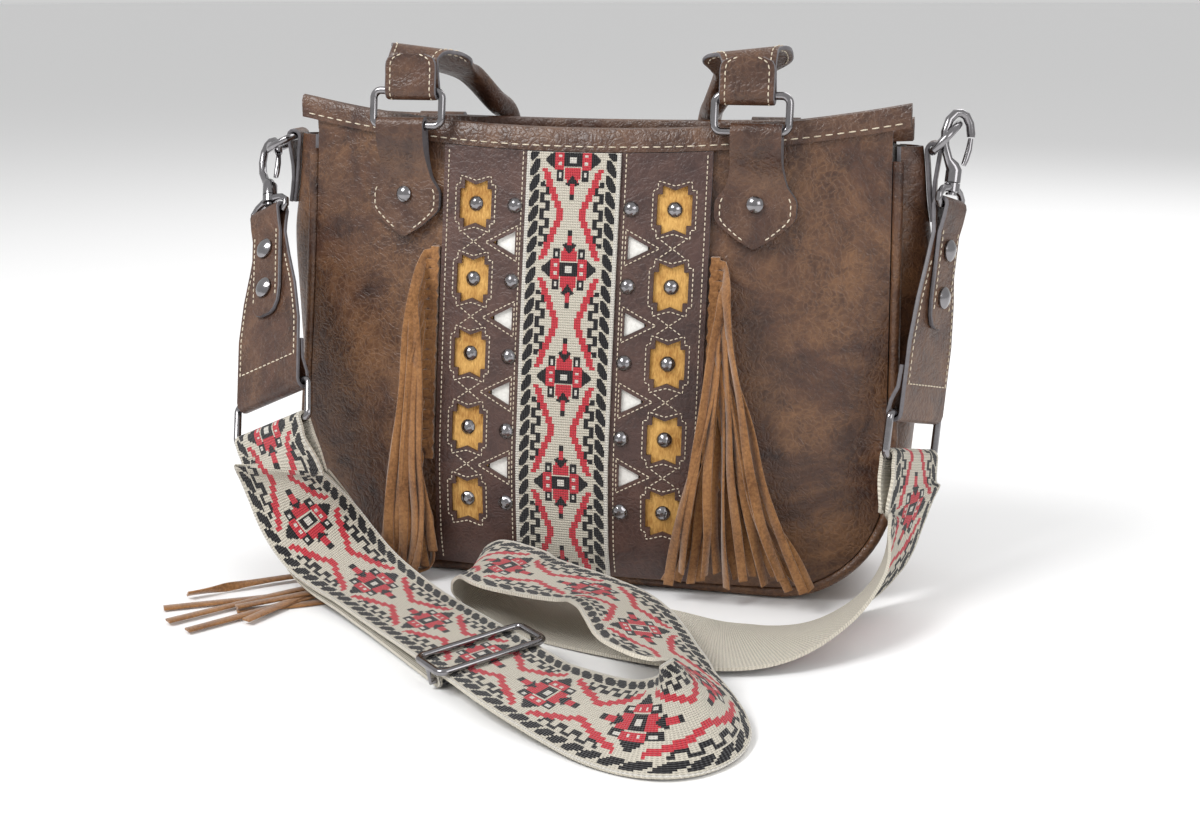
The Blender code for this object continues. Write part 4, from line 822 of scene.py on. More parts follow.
def make_bindings(leather):
    """The rolled strip over each rim: a hood in section, with the panel and the lining in its slot."""
    middle = (LEATHER + LINING_GAP + LINING) / 2
    slot = middle + GAP + 0.0003
    h, b = BINDING_HEIGHT, BINDING_HALF
    section = [
        (-b, -h), (-b, -0.3 * h), (
            -0.6 * b, -0.06 * h,
        ), (0, 0), (0.6 * b, -0.06 * h), (b, -0.3 * h), (b, -h),
        (slot, -h), (slot, -0.27 * h), (-slot, -0.27 * h), (-slot, -h),
    ]
    for side, name in ((-1, "front_rim_binding"), (1, "back_rim_binding")):
        reach = TOP_WIDTH / 2 + BINDING_OVERHANG
        vertices = []
        places = np.linspace(-reach, reach, 110)
        for dx in places:
            x = LEAN + dx
            z = rim_height(side, x)
            for a, c in section:
                vertices.append((x, side * (depth(x, z + c) - middle) + a, z + c))
        k = len(section)
        faces = band_faces(0, len(places) - 1, k)
        faces.append(tuple(range(k)))
        faces.append(tuple((len(places) - 1) * k + j for j in range(k)))
        solid(name, vertices, faces, leather)


def panel_normal(side, x, z):
    step = 0.001
    across = (depth(x + step, z) - depth(x - step, z)) / (2 * step)
    upward = (depth(x, z + step) - depth(x, z - step)) / (2 * step)
    return unit((-across, side, -upward))


def front_patch(x0, x1, low, high, inner, thickness, columns, rows):
    """A sheet over the front panel between two heights: its back is this far off the panel."""
    outer_rows, inner_rows = [], []
    for v in np.linspace(0, 1, rows):
        outer_row, inner_row = [], []
        for x in np.linspace(x0, x1, columns):
            top = high if high is not None else rim_height(-1, x) - BINDING_HEIGHT - GAP
            z = low + (top - low) * v
            y = -depth(x, z)
            outer_row.append((x, y - inner - thickness, z))
            inner_row.append((x, y - inner, z))
        outer_rows.append(outer_row)
        inner_rows.append(inner_row)
    return slab(outer_rows, inner_rows)


def prism(outline, near, far):
    """A straight cutter along Y from an (x, z) outline."""
    k = len(outline)
    vertices = [(x, near, z) for x, z in outline] + [(x, far, z) for x, z in outline]
    faces = [tuple(range(k)), tuple(range(k, 2 * k))]
    faces += [(j, (j + 1) % k, k + (j + 1) % k, k + j) for j in range(k)]
    return vertices, faces


def inlay_outline(x, z):
    """A stepped window: a wide middle with a narrower notched tab above and below."""
    w, h, t, s = INLAY_WIDTH / 2, INLAY_HEIGHT / 2, INLAY_TAB, INLAY_STEP
    right = [(w, -h), (w, h), (s, h), (s, h + t), (0, h + t * 0.45)]
    left = [
        (-s, h + t), (-s, h), (-w, h), (-w, -h), (-s, -h), (-s, -h - t), (0, -h - t * 0.45), (s, -h - t),
        (s, -h),
    ]
    return [(x + a, z + b) for a, b in right + left]


def row_height(row):
    return TOP_ROW - row * ROW_PITCH


def make_front(leather, hide, white):
    low = SEAM_Z + PIPING_RADIUS + 0.002
    under = SEAT + INLAY_SHEET + GAP
    half = OVERLAY_WIDTH / 2
    overlay = solid(
        "centre_overlay", *front_patch(-half, half, low, None, under, OVERLAY_SHEET, 49, 71), leather
    )
    windows = []
    for side in (-1, 1):
        for row in range(ROWS):
            z = row_height(row)
            windows.append(prism(inlay_outline(side * INLAY_X, z), -0.1, 0))
        for row in range(ROWS - 1):
            z = row_height(row) - ROW_PITCH / 2
            tip, back = side * (TRIANGLE_X + TRIANGLE_HALF), side * (TRIANGLE_X - TRIANGLE_HALF)
            windows.append(prism([(tip, z), (back, z + TRIANGLE_HALF), (back, z - TRIANGLE_HALF)], -0.1, 0))
    boolean(overlay, (raw_solid("overlay_windows", *joined(windows), leather)), "DIFFERENCE")
    for side, name in ((-1, "left"), (1, "right")):
        top = row_height(0) + INLAY_HEIGHT / 2 + INLAY_TAB + 0.004
        bottom = row_height(ROWS - 1) - INLAY_HEIGHT / 2 - INLAY_TAB - 0.004
        spread = INLAY_WIDTH / 2 + 0.003
        middle = side * INLAY_X
        solid(
            f"hide_strip_{name}",
            *front_patch(middle - spread, middle + spread, bottom, top, SEAT, INLAY_SHEET, 9, 71),
            hide,
        )
        top = row_height(0) - ROW_PITCH / 2 + TRIANGLE_HALF + 0.004
        bottom = row_height(ROWS - 2) - ROW_PITCH / 2 - TRIANGLE_HALF - 0.004
        inner_edge = side * (TRIANGLE_X - TRIANGLE_HALF - 0.003)
        outer_edge = middle - side * (spread + 0.001)
        solid(
            f"white_strip_{name}",
            *front_patch(
                min(inner_edge, outer_edge), max(inner_edge, outer_edge), bottom, top, SEAT, INLAY_SHEET, 9,
                71,
            ),
            white,
        )
    on_top = under + OVERLAY_SHEET + GAP
    make_ribbon(on_top, low)


def rounded_loop(width, height, corner, count=9):
    """A closed rounded rectangle in (u, v), v from 0 at its first bar to height at the other."""
    w, r = width / 2, corner
    centres = ((w - r, r, -90), (w - r, height - r, 0), (-w + r, height - r, 90), (-w + r, r, 180))
    points = []
    for cu, cv, start in centres:
        for t in np.linspace(start, start + 90, count):
            a = math.radians(t)
            points.append((cu + r * math.cos(a), cv + r * math.sin(a)))
    return points


def make_wire_loop(name, outline, origin, u, v, radius, finish):
    """A closed wire ring whose first bar's middle is at origin, lying in the plane of u and v."""
    origin, u, v = np.array(origin, float), unit(u), unit(v)
    points = [origin + a * u + b * v for a, b in outline]
    normal = np.cross(u, v)
    return solid(
        name,
        *sweep(points, [normal] * len(points), [circle(radius)] * len(points), closed=True),
        finish,
    )


LOOP_RADIUS = WIRE + FIT + LOOP_SHEET / 2  # middle of a leather loop round a bar
TAB_OUT = 0.0058  # how far a tab's back lies off the panel's face where it crosses the rim binding


def loop_centre(side):
    """The bar in a handle tab's loop, (y, z), beside the rim."""
    x = HANDLE_X + TAB_SHIFT
    z = rim_height(side, x) - 0.004
    y = side * (depth(x, z) + TAB_OUT + WIRE + FIT + LOOP_SHEET)
    return y, z


def tab_half(share):
    """Half the width of a handle tab, from its loop (0) to its tip (1)."""
    table = smooth_table(
        (
            (0, TAB_NECK / 2), (0.25, TAB_NECK / 2), (0.45, TAB_NECK / 2 + 0.002), (0.62, TAB_WIDTH / 2),
            (0.72, TAB_WIDTH / 2), (0.88, TAB_WIDTH * 0.3), (1, 0.0012),
        )
    )
    return table(share)


def make_handle_tab(name, side, x, leather):
    """A spade-shaped plate on the panel. Its upper end goes round the ring's lower bar and down behind."""
    cy, cz = loop_centre(side)
    full = WIRE + FIT + LOOP_SHEET
    stations = np.linspace(0.04, 1.0, 34)
    turns = np.linspace(0, math.pi, 17)
    vertices = []
    signs = np.linspace(-1, 1, 13)
    for sign in signs:
        column = [
            (
                x + sign * TAB_NECK / 2, cy - side * full * math.cos(t), cz + full * math.sin(t),
            ) for t in turns
        ]
        back = []
        for s in stations:
            z = cz - s * TAB_LENGTH
            px = x + sign * tab_half(s)
            seat = depth(px, z) + SEAT
            blend = min(max((s - 0.10) / 0.42, 0), 1)
            blend = blend * blend * (3 - 2 * blend)
            y = max((1 - blend) * (abs(cy) - full) + blend * seat, seat)
            thick = (1 - blend) * 2 * full + blend * TAB_SHEET
            column.append((px, side * (y + thick), z))
            back.append((px, side * y, z))
        vertices += column + back[::-1]
    first, count = len(turns), len(stations)
    k = first + 2 * count
    faces = band_faces(0, len(signs) - 1, k)
    tab_marks = [0] * len(faces)
    for base in (0, (len(signs) - 1) * k):
        for i in range(count - 1):
            faces.append((base + first + i, base + first + i + 1, base + k - 2 - i, base + k - 1 - i))
        faces.append(tuple(base + j for j in list(range(first + 1)) + [k - 1]))
    tab_marks += [1] * (len(faces) - len(tab_marks))
    made = solid(name, vertices, faces, tab_marks, leather)
    path = [(x - TAB_NECK, cy, cz), (x + TAB_NECK, cy, cz)]
    shape = sweep(path, [(0, 1, 0)] * 2, [circle(WIRE + FIT, 32)] * 2)
    boolean(made, (raw_solid(f"{name}_bore", *shape, leather)), "DIFFERENCE")


def make_cap(name, centre, normal, radius, finish):
    """A domed rivet or stud head that sits on a surface."""
    normal = unit(normal)
    side = unit(np.cross(normal, (0.3, 0.1, 0.9)))
    up = np.cross(normal, side)
    centre = np.array(centre, float)
    sides = 28
    vertices = []
    for share, height in ((1.0, 0.0), (1.0, 0.0008), (0.7, 0.0020), (0.25, 0.0027)):
        for a, b in circle(radius * share, sides):
            vertices.append(tuple(centre + a * side + b * up + height * normal))
    faces = band_faces(0, 3, sides)
    faces.append(tuple(range(sides)))
    faces.append(tuple(range(3 * sides, 4 * sides)))
    return solid(name, vertices, faces, finish)


def arc(cy, cz, radius, start, end, count):
    """Points (y, z) on a circle between two angles in degrees, measured from +Y towards +Z."""
    turns = np.radians(np.linspace(start, end, count))
    return [(cy + radius * math.cos(t), cz + radius * math.sin(t)) for t in turns]


HANDLE_LOOP = WIRE + FIT + HANDLE_LEATHER / 2
PATCH_RISE = 0.019  # how far a handle end stands beyond its ring bar
FRONT_LEG_X = 0.056
FRONT_ARCH_Z = 0.160
BACK_ARCH_Z = 0.128


def max_depth(x, z):
    """The panel's face at x or -x, whichever is further out: a handle lies against both."""
    return max(depth(x, z), depth(-x, z))


def back_rest(x, z):
    """How far back the middle of a handle tube lies when it hangs against the back panel."""
    radius = HANDLE_TUBE / 2
    reach = 0.0
    for a in (-0.8, -0.4, 0, 0.4, 0.8):
        for b in (-0.5, 0, 0.5):
            face = max_depth(abs(x) + a * radius, z + b * radius)
            reach = max(reach, face + radius * math.sqrt(1 - a * a - b * b))
    return reach + 0.0010


def front_handle_side():
    """Half of the front handle, from its sewn end: points, widths, thicknesses and squareness."""
    y, z = ring_top(-1)
    m = HANDLE_LOOP
    t = HANDLE_LEATHER
    flat = HANDLE_STRAP_WIDTH
    x = -HANDLE_X
    rows = [
        ((x, y - 0.6 * t, z + PATCH_RISE), flat * 0.55, t, 1),
        ((x, y - 0.65 * t, z + PATCH_RISE - 0.002), flat * 0.9, t, 1),
        ((x, y - 0.75 * t, z + PATCH_RISE - 0.006), flat, t, 1),
        ((x, y - 0.95 * t, z + 0.008), flat, t, 1),
    ]
    rows += [((x, ay, az), flat, t, 1) for ay, az in arc(y, z, m, 170, 370, 8)]
    rows += [
        ((x, y + 0.95 * t, z + 0.008), flat, t, 1),
        ((x, y + 0.75 * t, z + 0.014), flat, t, 1),
        ((x, y + 1.2 * t, z + PATCH_RISE - 0.002), flat, t, 1),
        ((x + 0.001, y + 0.0085, z + PATCH_RISE + 0.002), flat * 1.12, t, 1),
        ((x + 0.002, y + 0.017, z + PATCH_RISE + 0.0015), flat * 1.5, t, 1),
        ((x + 0.005, y + 0.026, z + PATCH_RISE - 0.003), HANDLE_LEAF_WIDTH, t, 1),
        ((x + 0.010, y + 0.036, z + PATCH_RISE - 0.008), HANDLE_LEAF_WIDTH * 0.72, 0.0040, 0.6),
        ((x + 0.017, y + 0.046, z + PATCH_RISE - 0.0125), HANDLE_LEAF_WIDTH * 0.42, 0.0085, 0.2),
    ]
    over = rim_height(1, FRONT_LEG_X) + HANDLE_TUBE / 2 + 0.0012
    behind = depth(FRONT_LEG_X, RIM_HEIGHT)
    tube = HANDLE_TUBE
    leg = -FRONT_LEG_X
    rows += [
        ((leg - 0.006, behind + 0.0015, over + 0.001), tube, tube, 0),
        ((leg - 0.002, behind + 0.0105, over - 0.0055), tube, tube, 0),
        ((leg, back_rest(leg, RIM_HEIGHT) + 0.0058, over - 0.018), tube, tube, 0),
        ((leg, back_rest(leg, 0.2) + 0.002, RIM_HEIGHT - 0.036), tube, tube, 0),
    ]
    for turn in np.radians(np.linspace(0, 90, 7)):
        ax = -FRONT_LEG_X * math.cos(turn)
        az = FRONT_ARCH_Z - FRONT_LEG_X * math.sin(turn)
        rows.append(((ax, back_rest(ax, az), az), tube, tube, 0))
    return rows


def back_handle_side():
    """Half of the back handle. It hangs flat against the back panel."""
    y, z = ring_top(1)
    m = HANDLE_LOOP
    t = HANDLE_LEATHER
    flat = HANDLE_STRAP_WIDTH
    x = -HANDLE_X
    rows = [
        ((x, y + 0.6 * t, z - PATCH_RISE), flat * 0.55, t, 1),
        ((x, y + 0.65 * t, z - PATCH_RISE + 0.002), flat * 0.9, t, 1),
        ((x, y + 0.75 * t, z - PATCH_RISE + 0.006), flat, t, 1),
        ((x, y + 0.95 * t, z - 0.008), flat, t, 1),
    ]
    rows += [((x, ay, az), flat, t, 1) for ay, az in arc(y, z, m, -10, 190, 8)]
    rows += [
        ((x, y - 0.95 * t, z - 0.008), flat, t, 1),
        ((x, y - 0.75 * t, z - 0.014), flat, t, 1),
        ((x, y - 0.3 * t, z - 0.024), flat * 1.2, t, 1),
    ]

    def rest(z_here, extra):
        return max_depth(x, z_here) + extra

    rows += [
        ((x, rest(z - 0.034, 0.0110), z - 0.034), HANDLE_LEAF_WIDTH, t, 1),
        ((x, rest(z - 0.046, 0.0085), z - 0.046), HANDLE_LEAF_WIDTH * 0.72, 0.0040, 0.6),
        ((x, rest(z - 0.058, 0.0080), z - 0.058), HANDLE_LEAF_WIDTH * 0.42, 0.0085, 0.2),
        ((x, back_rest(x, z - 0.070), z - 0.070), HANDLE_TUBE, HANDLE_TUBE, 0),
    ]
    for turn in np.radians(np.linspace(0, 90, 8)):
        ax = -HANDLE_X * math.cos(turn)
        az = BACK_ARCH_Z - HANDLE_X * math.sin(turn)
        rows.append(((ax, back_rest(ax, az), az), HANDLE_TUBE, HANDLE_TUBE, 0))
    return rows


RING_LEAN = 0.003


def ring_foot(side):
    return loop_centre(side)


def ring_top(side):
    """The bar that a handle end goes round, (y, z): above the front rim, and hanging down at the back."""
    y, z = ring_foot(side)
    if side < 0:
        return y + RING_LEAN, z + RING_HEIGHT
    return y + 0.0095, z - RING_HEIGHT * 0.85


def make_handles(leather, metal):
    for side, face in ((-1, "front"), (1, "back")):
        foot, top = ring_foot(side), ring_top(side)
        direction = (0, top[0] - foot[0], top[1] - foot[1])
        height = math.hypot(direction[1], direction[2])
        for end, hand in ((-1, "left"), (1, "right")):
            x = end * (HANDLE_X + TAB_SHIFT)
            make_handle_tab(f"handle_tab_{face}_{hand}", side, x, leather)
            z = loop_centre(side)[1] - TAB_LENGTH * 0.62
            y = side * (depth(x, z) + SEAT + TAB_SHEET + 2 * GAP)
            make_cap(f"tab_rivet_{face}_{hand}", (x, y, z), panel_normal(side, x, z), 0.0042, metal)
            make_wire_loop(
                f"handle_ring_{face}_{hand}",
                rounded_loop(RING_WIDTH, height, 0.004),
                (end * (HANDLE_X + RING_SHIFT), *foot),
                (1, 0, 0),
                direction,
                WIRE,
                metal,
            )
        rows = front_handle_side() if side < 0 else back_handle_side()
        make_handle(f"{face}_handle", rows, leather)


class Chain:
    """One side's hook, chape and strap ring: places down the chain from the D-ring's wire."""

    def __init__(self, hand, top, bottom, turn_top, turn_low):
        self.hand = hand
        self.top = np.array(top, float)
        self.down = unit(np.array(bottom, float) - self.top)
        self.turn_top = turn_top
        self.turn_low = turn_low
        self.bar = -CHAPE_LEATHER / 2 - 0.00025 - CHAPE_LOOP  # the strap ring's place off the chain's line
        self.low = EYE_AT + CHAPE_LENGTH

    def across(self, a):
        turn = math.radians(self.turn_top if a < SWIVEL_AT else self.turn_low) * self.hand
        w = np.array((math.cos(turn), math.sin(turn), 0))
        return unit(w - np.dot(w, self.down) * self.down)

    def out(self, a):
        return np.cross(self.down, self.across(a))

    def at(self, a, b=0.0, n=0.0):
        return self.top + a * self.down + b * self.across(a) + n * self.out(a)


CHAPE_LOOP = WIRE + FIT + CHAPE_LEATHER / 2


def d_ring_bow(hand):
    """The middle of the D-ring's bow, which the hook hangs from."""
    bx, bz = side_bar(hand)
    turn = math.radians(D_RING_TILT[hand])
    share = math.sqrt(1 - (2 * D_RING_SLIDE / D_RING_WIDTH) ** 2)
    reach = 0.0077 + (D_RING_HEIGHT - 0.007) * share
    return bx + hand * reach * math.cos(turn), SIDE_TAB_Y + D_RING_SLIDE, bz + reach * math.sin(turn)


def right_chain():
    return Chain(1, d_ring_bow(1), (0.1830, -0.0330, 0.098), 35, 67)


def left_chain():
    return Chain(-1, d_ring_bow(-1), (-0.1555, -0.083, 0.106), 35, 29)


def make_chape(name, chain, leather):
    """A strap end folded round the hook's eye, riveted, and folded again round the strap ring."""
    t = CHAPE_LEATHER
    lay = t / 2 + 0.00025
    eye, low, m = EYE_AT, chain.low, CHAPE_LOOP
    rows = [
        (eye + 0.062, lay, 0.008), (eye + 0.0605, lay, 0.014), (eye + 0.056, lay, 0.0195),
        (
            eye + 0.048, lay, CHAPE_TOP_WIDTH,
        ), (eye + 0.030, lay, CHAPE_TOP_WIDTH), (eye + 0.014, lay, CHAPE_TOP_WIDTH),
        (eye + 0.007, lay + 0.6 * (m - lay), CHAPE_TOP_WIDTH),
    ]
    for turn in np.radians(np.linspace(0, 180, 7)):
        rows.append((eye - m * math.sin(turn), m * math.cos(turn), CHAPE_TOP_WIDTH))
    rows += [
        (
            eye + 0.007, -lay - 0.6 * (m - lay), CHAPE_TOP_WIDTH,
        ), (eye + 0.014, -lay, CHAPE_TOP_WIDTH + 0.002),
        (eye + 0.030, -lay, CHAPE_TOP_WIDTH + 0.009), (eye + 0.048, -lay, CHAPE_WIDTH * 0.86),
        (eye + 0.070, -lay, CHAPE_WIDTH), (low - 0.012, -lay, CHAPE_WIDTH),
    ]
    bar = chain.bar
    for turn in np.radians(np.linspace(0, 180, 7)):
        rows.append((low + m * math.sin(turn), bar + m * math.cos(turn), CHAPE_WIDTH))
    rows += [
        (low - 0.006, bar - 0.75 * m, CHAPE_WIDTH), (low - 0.013, -3 * lay - 0.0006, CHAPE_WIDTH),
        (low - 0.024, -3 * lay, CHAPE_WIDTH),
    ]
    points = [chain.at(a, 0, n) for a, n, _ in rows]
    widths = [chain.across(a) for a, _, _ in rows]
    solid(
        name, *sweep(points, widths, [sheet_section(w, t) for _, _, w in rows], cut=CUT_SEGMENTS), leather
    )
    return lay


def make_hook(hand, chain, metal):
    """The pear-shaped hook, its gate, and the swivelling eye with the hook's post in its collar."""
    thick = WIRE * 1.1
    rows = [
        (0.0362, 0.0, 0.0027), (0.0350, 0.0, 0.0027), (0.0347, 0.0, 0.0014), (0.0300, 0.0, 0.0014),
        (0.0297, 0.0, 0.0040), (0.0235, 0.0, 0.0040), (0.0215, -0.0012, 0.0034), (0.0185, -0.0040, thick),
        (0.0120, -0.0070, thick), (0.0050, -0.0076, thick), (
            -0.0012, -0.0060, thick,
        ), (-0.0047, -0.0030, thick),
        (-0.0055, 0.0, thick), (-0.0045, 0.0032, thick), (-0.0008, 0.0060, thick), (0.0042, 0.0074, thick),
        (0.0058, 0.0075, thick * 0.9),
    ]
    points = [chain.at(a, b) for a, b, _ in rows]
    normal = chain.out(0)
    solid(
        f"hook_body_{hand}",
        *sweep(points, [normal] * len(rows), [circle(r, 20) for _, _, r in rows]),
        metal,
    )
    gate = [
        (0.0064, 0.0075, 0.0013), (0.0120, 0.0072, 0.0016), (0.0170, 0.0062, 0.0016),
        (0.0202, 0.0052, 0.0013),
    ]
    points = [chain.at(a, b) for a, b, _ in gate]
    solid(
        f"hook_gate_{hand}",
        *sweep(points, [normal] * len(gate), [circle(r, 20) for _, _, r in gate]),
        metal,
    )
    half = EYE_WIDTH / 2
    top, bar = 0.0325, EYE_AT
    outline = [
        (0.0, top), (0.0045, top), (half * 0.75, top + 0.0015), (half, top + 0.0045), (half, bar - 0.002),
        (half - 0.002, bar), (half * 0.4, bar),
    ]
    ring = outline + [(-b, a) for b, a in reversed(outline[1:])]
    points = [chain.at(a, b) for b, a in ring]
    normal = chain.out(bar)
    radii = [0.0018 if abs(b) > 0.005 or a > bar - 0.001 else 0.0022 for b, a in ring]
    eye = solid(
        f"hook_eye_{hand}",
        *sweep(points, [normal] * len(ring), [circle(r, 20) for r in radii], closed=True),
        metal,
    )
    for label, radius, start, end, operation in (
        ("collar", 0.0040, 0.0302, 0.0344, "UNION"), ("bore", 0.0018, 0.0290, 0.0360, "DIFFERENCE"),
    ):
        path = [chain.at(start), chain.at(end)]
        shape = sweep(path, [normal] * 2, [circle(radius, 24)] * 2)
        boolean(eye, (raw_solid(f"eye_{label}_{hand}", *shape, metal)), operation)


def side_bar(hand):
    """The D-ring's straight bar, (x, z), in the loop of a side tab."""
    z = SIDE_TAB_TOP
    outer = half_width(z) + LEATHER / 2 + bulge(z, 0)
    return LEAN + hand * (outer + GAP + LOOP_SHEET + FIT + WIRE), z


def make_side_tab(name, hand, leather):
    """A strip doubled round the D-ring's bar and sewn to the top of the gusset."""
    bx, bz = side_bar(hand)
    rows = []
    for z in np.linspace(bz - SIDE_TAB_LENGTH, bz - 0.002, 6):
        outer = LEAN + hand * (half_width(z) + LEATHER / 2 + bulge(z, 0) + GAP + LOOP_SHEET / 2)
        rows.append((outer, z))
    for turn in np.radians(np.linspace(170, 10, 7)):
        rows.append((bx + hand * LOOP_RADIUS * math.cos(turn), bz + LOOP_RADIUS * math.sin(turn)))
    inner = list(reversed(rows[:5]))
    for share, (x, z) in zip((0.75, 0.25, 0, 0, 0), inner):
        rows.append((x + hand * (LOOP_SHEET + 0.0004 + share * 2 * (LOOP_RADIUS - LOOP_SHEET)), z))
    points = [(x, SIDE_TAB_Y, z) for x, z in rows]
    solid(
        name,
        *sweep(
            points, [(0, 1, 0)] * len(points), [sheet_section(SIDE_TAB_WIDTH, LOOP_SHEET)] * len(points),
            cut=CUT_SEGMENTS,
        ),
        leather,
    )


def d_outline():
    """A D: its straight bar along u at v = 0 and its bow up to the full height."""
    half = D_RING_WIDTH / 2
    points = [
        (-half * 0.45, 0), (half * 0.45, 0), (half - 0.003, 0.0), (half - 0.0006, 0.0016), (half, 0.005),
    ]
    bow = [
        (
            half * math.cos(t), 0.007 + (D_RING_HEIGHT - 0.007) * math.sin(t),
        ) for t in np.radians(np.linspace(10, 170, 33))
    ]
    return points + bow + [(-half, 0.005), (-half + 0.0006, 0.0016), (-half + 0.003, 0.0)]


def make_side(hand, name, chain, leather, metal):
    make_side_tab(f"side_tab_{name}", hand, leather)
    bx, bz = side_bar(hand)
    lean = (chain.top[0] - bx, 0, chain.top[2] - bz)
    make_wire_loop(f"d_ring_{name}", d_outline(), (bx, SIDE_TAB_Y, bz), (0, 1, 0), lean, WIRE, metal)
    make_hook(name, chain, metal)
    lay = make_chape(f"chape_{name}", chain, leather)
    for label, a in (("upper", EYE_AT + 0.022), ("lower", EYE_AT + 0.046)):
        seat = lay + CHAPE_LEATHER / 2 + 2 * GAP
        make_cap(f"chape_rivet_{label}_{name}", chain.at(a, 0, seat), chain.out(a), RIVET_RADIUS, metal)
    origin = chain.at(chain.low, 0, chain.bar)
    make_wire_loop(
        f"strap_ring_{name}",
        rounded_loop(STRAP_RING_WIDTH, STRAP_RING_HEIGHT, 0.0035),
        origin,
        chain.across(chain.low),
        chain.down,
        WIRE,
        metal,
    )


# The strap's middle line from the left ring to the right one: x, y, z, then its width direction.
STRAP_ROUTE = (
    (-0.1425, -0.0960, 0.0620, 0.86, -0.15, 0.40),
    (-0.1345, -0.0935, 0.0450, 0.82, 0.16, 0.42),
    (-0.1210, -0.0940, 0.0290, 0.76, 0.45, 0.28),
    (-0.1035, -0.1010, 0.0180, 0.70, 0.63, 0.14),
    (-0.0840, -0.1125, 0.0120, 0.69, 0.71, 0.07),
    (-0.0610, -0.1310, 0.0092, 0.68, 0.72, 0.05),
    (-0.0365, -0.1530, 0.0092, 0.68, 0.72, 0.06),
    (-0.0215, -0.1670, 0.0096, 0.68, 0.72, 0.07),
    (-0.0065, -0.1810, 0.0100, 0.68, 0.72, 0.08),
    (0.0085, -0.1950, 0.0104, 0.68, 0.72, 0.09),
    (0.0280, -0.2125, 0.0105, 0.64, 0.75, 0.12),
    (0.0555, -0.2300, 0.0100, 0.48, 0.82, 0.28),
    (0.0770, -0.2430, 0.0120, 0.22, 0.85, 0.45),
    (0.0950, -0.2480, 0.0155, -0.12, 0.75, 0.62),
    (0.1080, -0.2400, 0.0180, -0.50, 0.40, 0.72),
    (0.1110, -0.2250, 0.0190, -0.68, 0.02, 0.70),
    (0.1030, -0.2110, 0.0215, -0.74, -0.32, 0.58),
    (0.0880, -0.2000, 0.0250, -0.80, -0.48, 0.35),
    (0.0750, -0.1860, 0.0265, -0.83, -0.52, 0.22),
    (0.0660, -0.1690, 0.0270, -0.83, -0.52, 0.20),
    (0.0560, -0.1510, 0.0275, -0.80, -0.56, 0.20),
    (0.0430, -0.1370, 0.0280, -0.66, -0.73, 0.15),
    (0.0270, -0.1295, 0.0280, -0.42, -0.90, 0.06),
    (0.0100, -0.1230, 0.0280, -0.25, -0.97, 0.00),
    (-0.0080, -0.1150, 0.0280, -0.22, -0.97, -0.05),
    (-0.0190, -0.1045, 0.0275, -0.12, -0.98, -0.04),
    (-0.0295, -0.0985, 0.0260, -0.05, -0.98, 0.00),
    (-0.0375, -0.0945, 0.0205, 0.05, -0.98, 0.00),
    (-0.0400, -0.0930, 0.0135, 0.08, -0.98, 0.00),
    (-0.0365, -0.0930, 0.0060, 0.05, -0.97, 0.00),
    (-0.0240, -0.0950, 0.0020, -0.05, -0.97, 0.00),
    (-0.0050, -0.1020, 0.0016, -0.15, -0.97, 0.00),
    (0.0200, -0.1140, 0.0025, -0.20, -0.97, -0.05),
    (0.0570, -0.1260, 0.0060, -0.15, -0.97, -0.16),
    (0.0920, -0.1330, 0.0055, 0.05, -0.98, -0.10),
    (0.1180, -0.1250, 0.0050, 0.45, -0.88, 0.00),
    (0.1410, -0.1060, 0.0080, 0.55, -0.75, 0.30),
    (0.1570, -0.0840, 0.0150, 0.45, -0.65, 0.55),
    (0.1670, -0.0640, 0.0240, 0.10, -0.75, 0.65),
    (0.1735, -0.0490, 0.0360, -0.18, -0.80, 0.55),
    (0.1775, -0.0410, 0.0480, -0.34, -0.92, 0.18),
)
SLIDER_POINT = 8
STRAP_LOOP = WIRE + FIT + STRAP_SHEET / 2
SLIDER_LOOP = WIRE * 0.75 + GAP + STRAP_SHEET / 2
SLIDER_BAR = STRAP_SHEET + GAP + SLIDER_LOOP  # the slider's middle bar, below the strap's middle
UNDER_LAYER = 0.0044  # from the strap's middle to the middle of its return layer


def ring_loop(chain, leaving, towards):
    """Strap stations over a ring's lower bar, from behind it to in front, with the strap's width there."""
    bar = chain.at(chain.low + STRAP_RING_HEIGHT, 0, chain.bar)
    across = chain.across(chain.low)
    away = np.array(towards, float) - bar
    away = unit(away - np.dot(away, across) * across)
    out = np.cross(away, across)
    m = STRAP_LOOP
    stations = [(0.012, -m * 1.05, 180), (0.004, -m, 180)]
    for turn in range(180, -1, -30):
        stations.append((-m * math.sin(math.radians(turn)), m * math.cos(math.radians(turn)), turn))
    stations += [(0.004, m, 0), (0.012, m + 0.0003, 0), (0.020, m + 0.0006, 0)]
    rows = []
    for a, n, degrees in stations:
        turn = math.radians(degrees)
        normal = math.cos(turn) * out - math.sin(turn) * away
        rows.append(np.concatenate([bar + a * away + n * out, across * leaving, normal]))
    return rows


def on_floor(rows, below):
    """The strap's stations, each raised until its lowest edge and the layer below it clear the floor."""
    along = tangents(rows[:, :3])
    lifts = []
    for row, t, layer in zip(rows, along, below):
        w = unit(row[3:] - np.dot(row[3:], t) * t)
        n = np.cross(t, w)
        lowest = row[2] - abs(w[2]) * STRAP_WIDTH / 2 - abs(n[2]) * STRAP_SHEET / 2 - max(n[2], 0) * layer
        lifts.append(max(0.0, 2 * GAP - lowest))
    raised = rows.copy()
    high = [max(lifts[max(i - 6, 0) : i + 7]) for i in range(len(lifts))]
    for i in range(3, len(rows) - 3):
        raised[i, 2] += np.mean(high[max(i - 6, 0) : i + 7]) * min(1, (i - 2) / 3, (len(rows) - 3 - i) / 3)
    return raised


def under_drop(stations_left):
    """How far the return layer lies below the strap: further as it nears the slider's bar."""
    near = min(max(1 - stations_left / 11, 0.0), 1.0)
    return UNDER_LAYER + near * (SLIDER_BAR + SLIDER_LOOP - UNDER_LAYER)


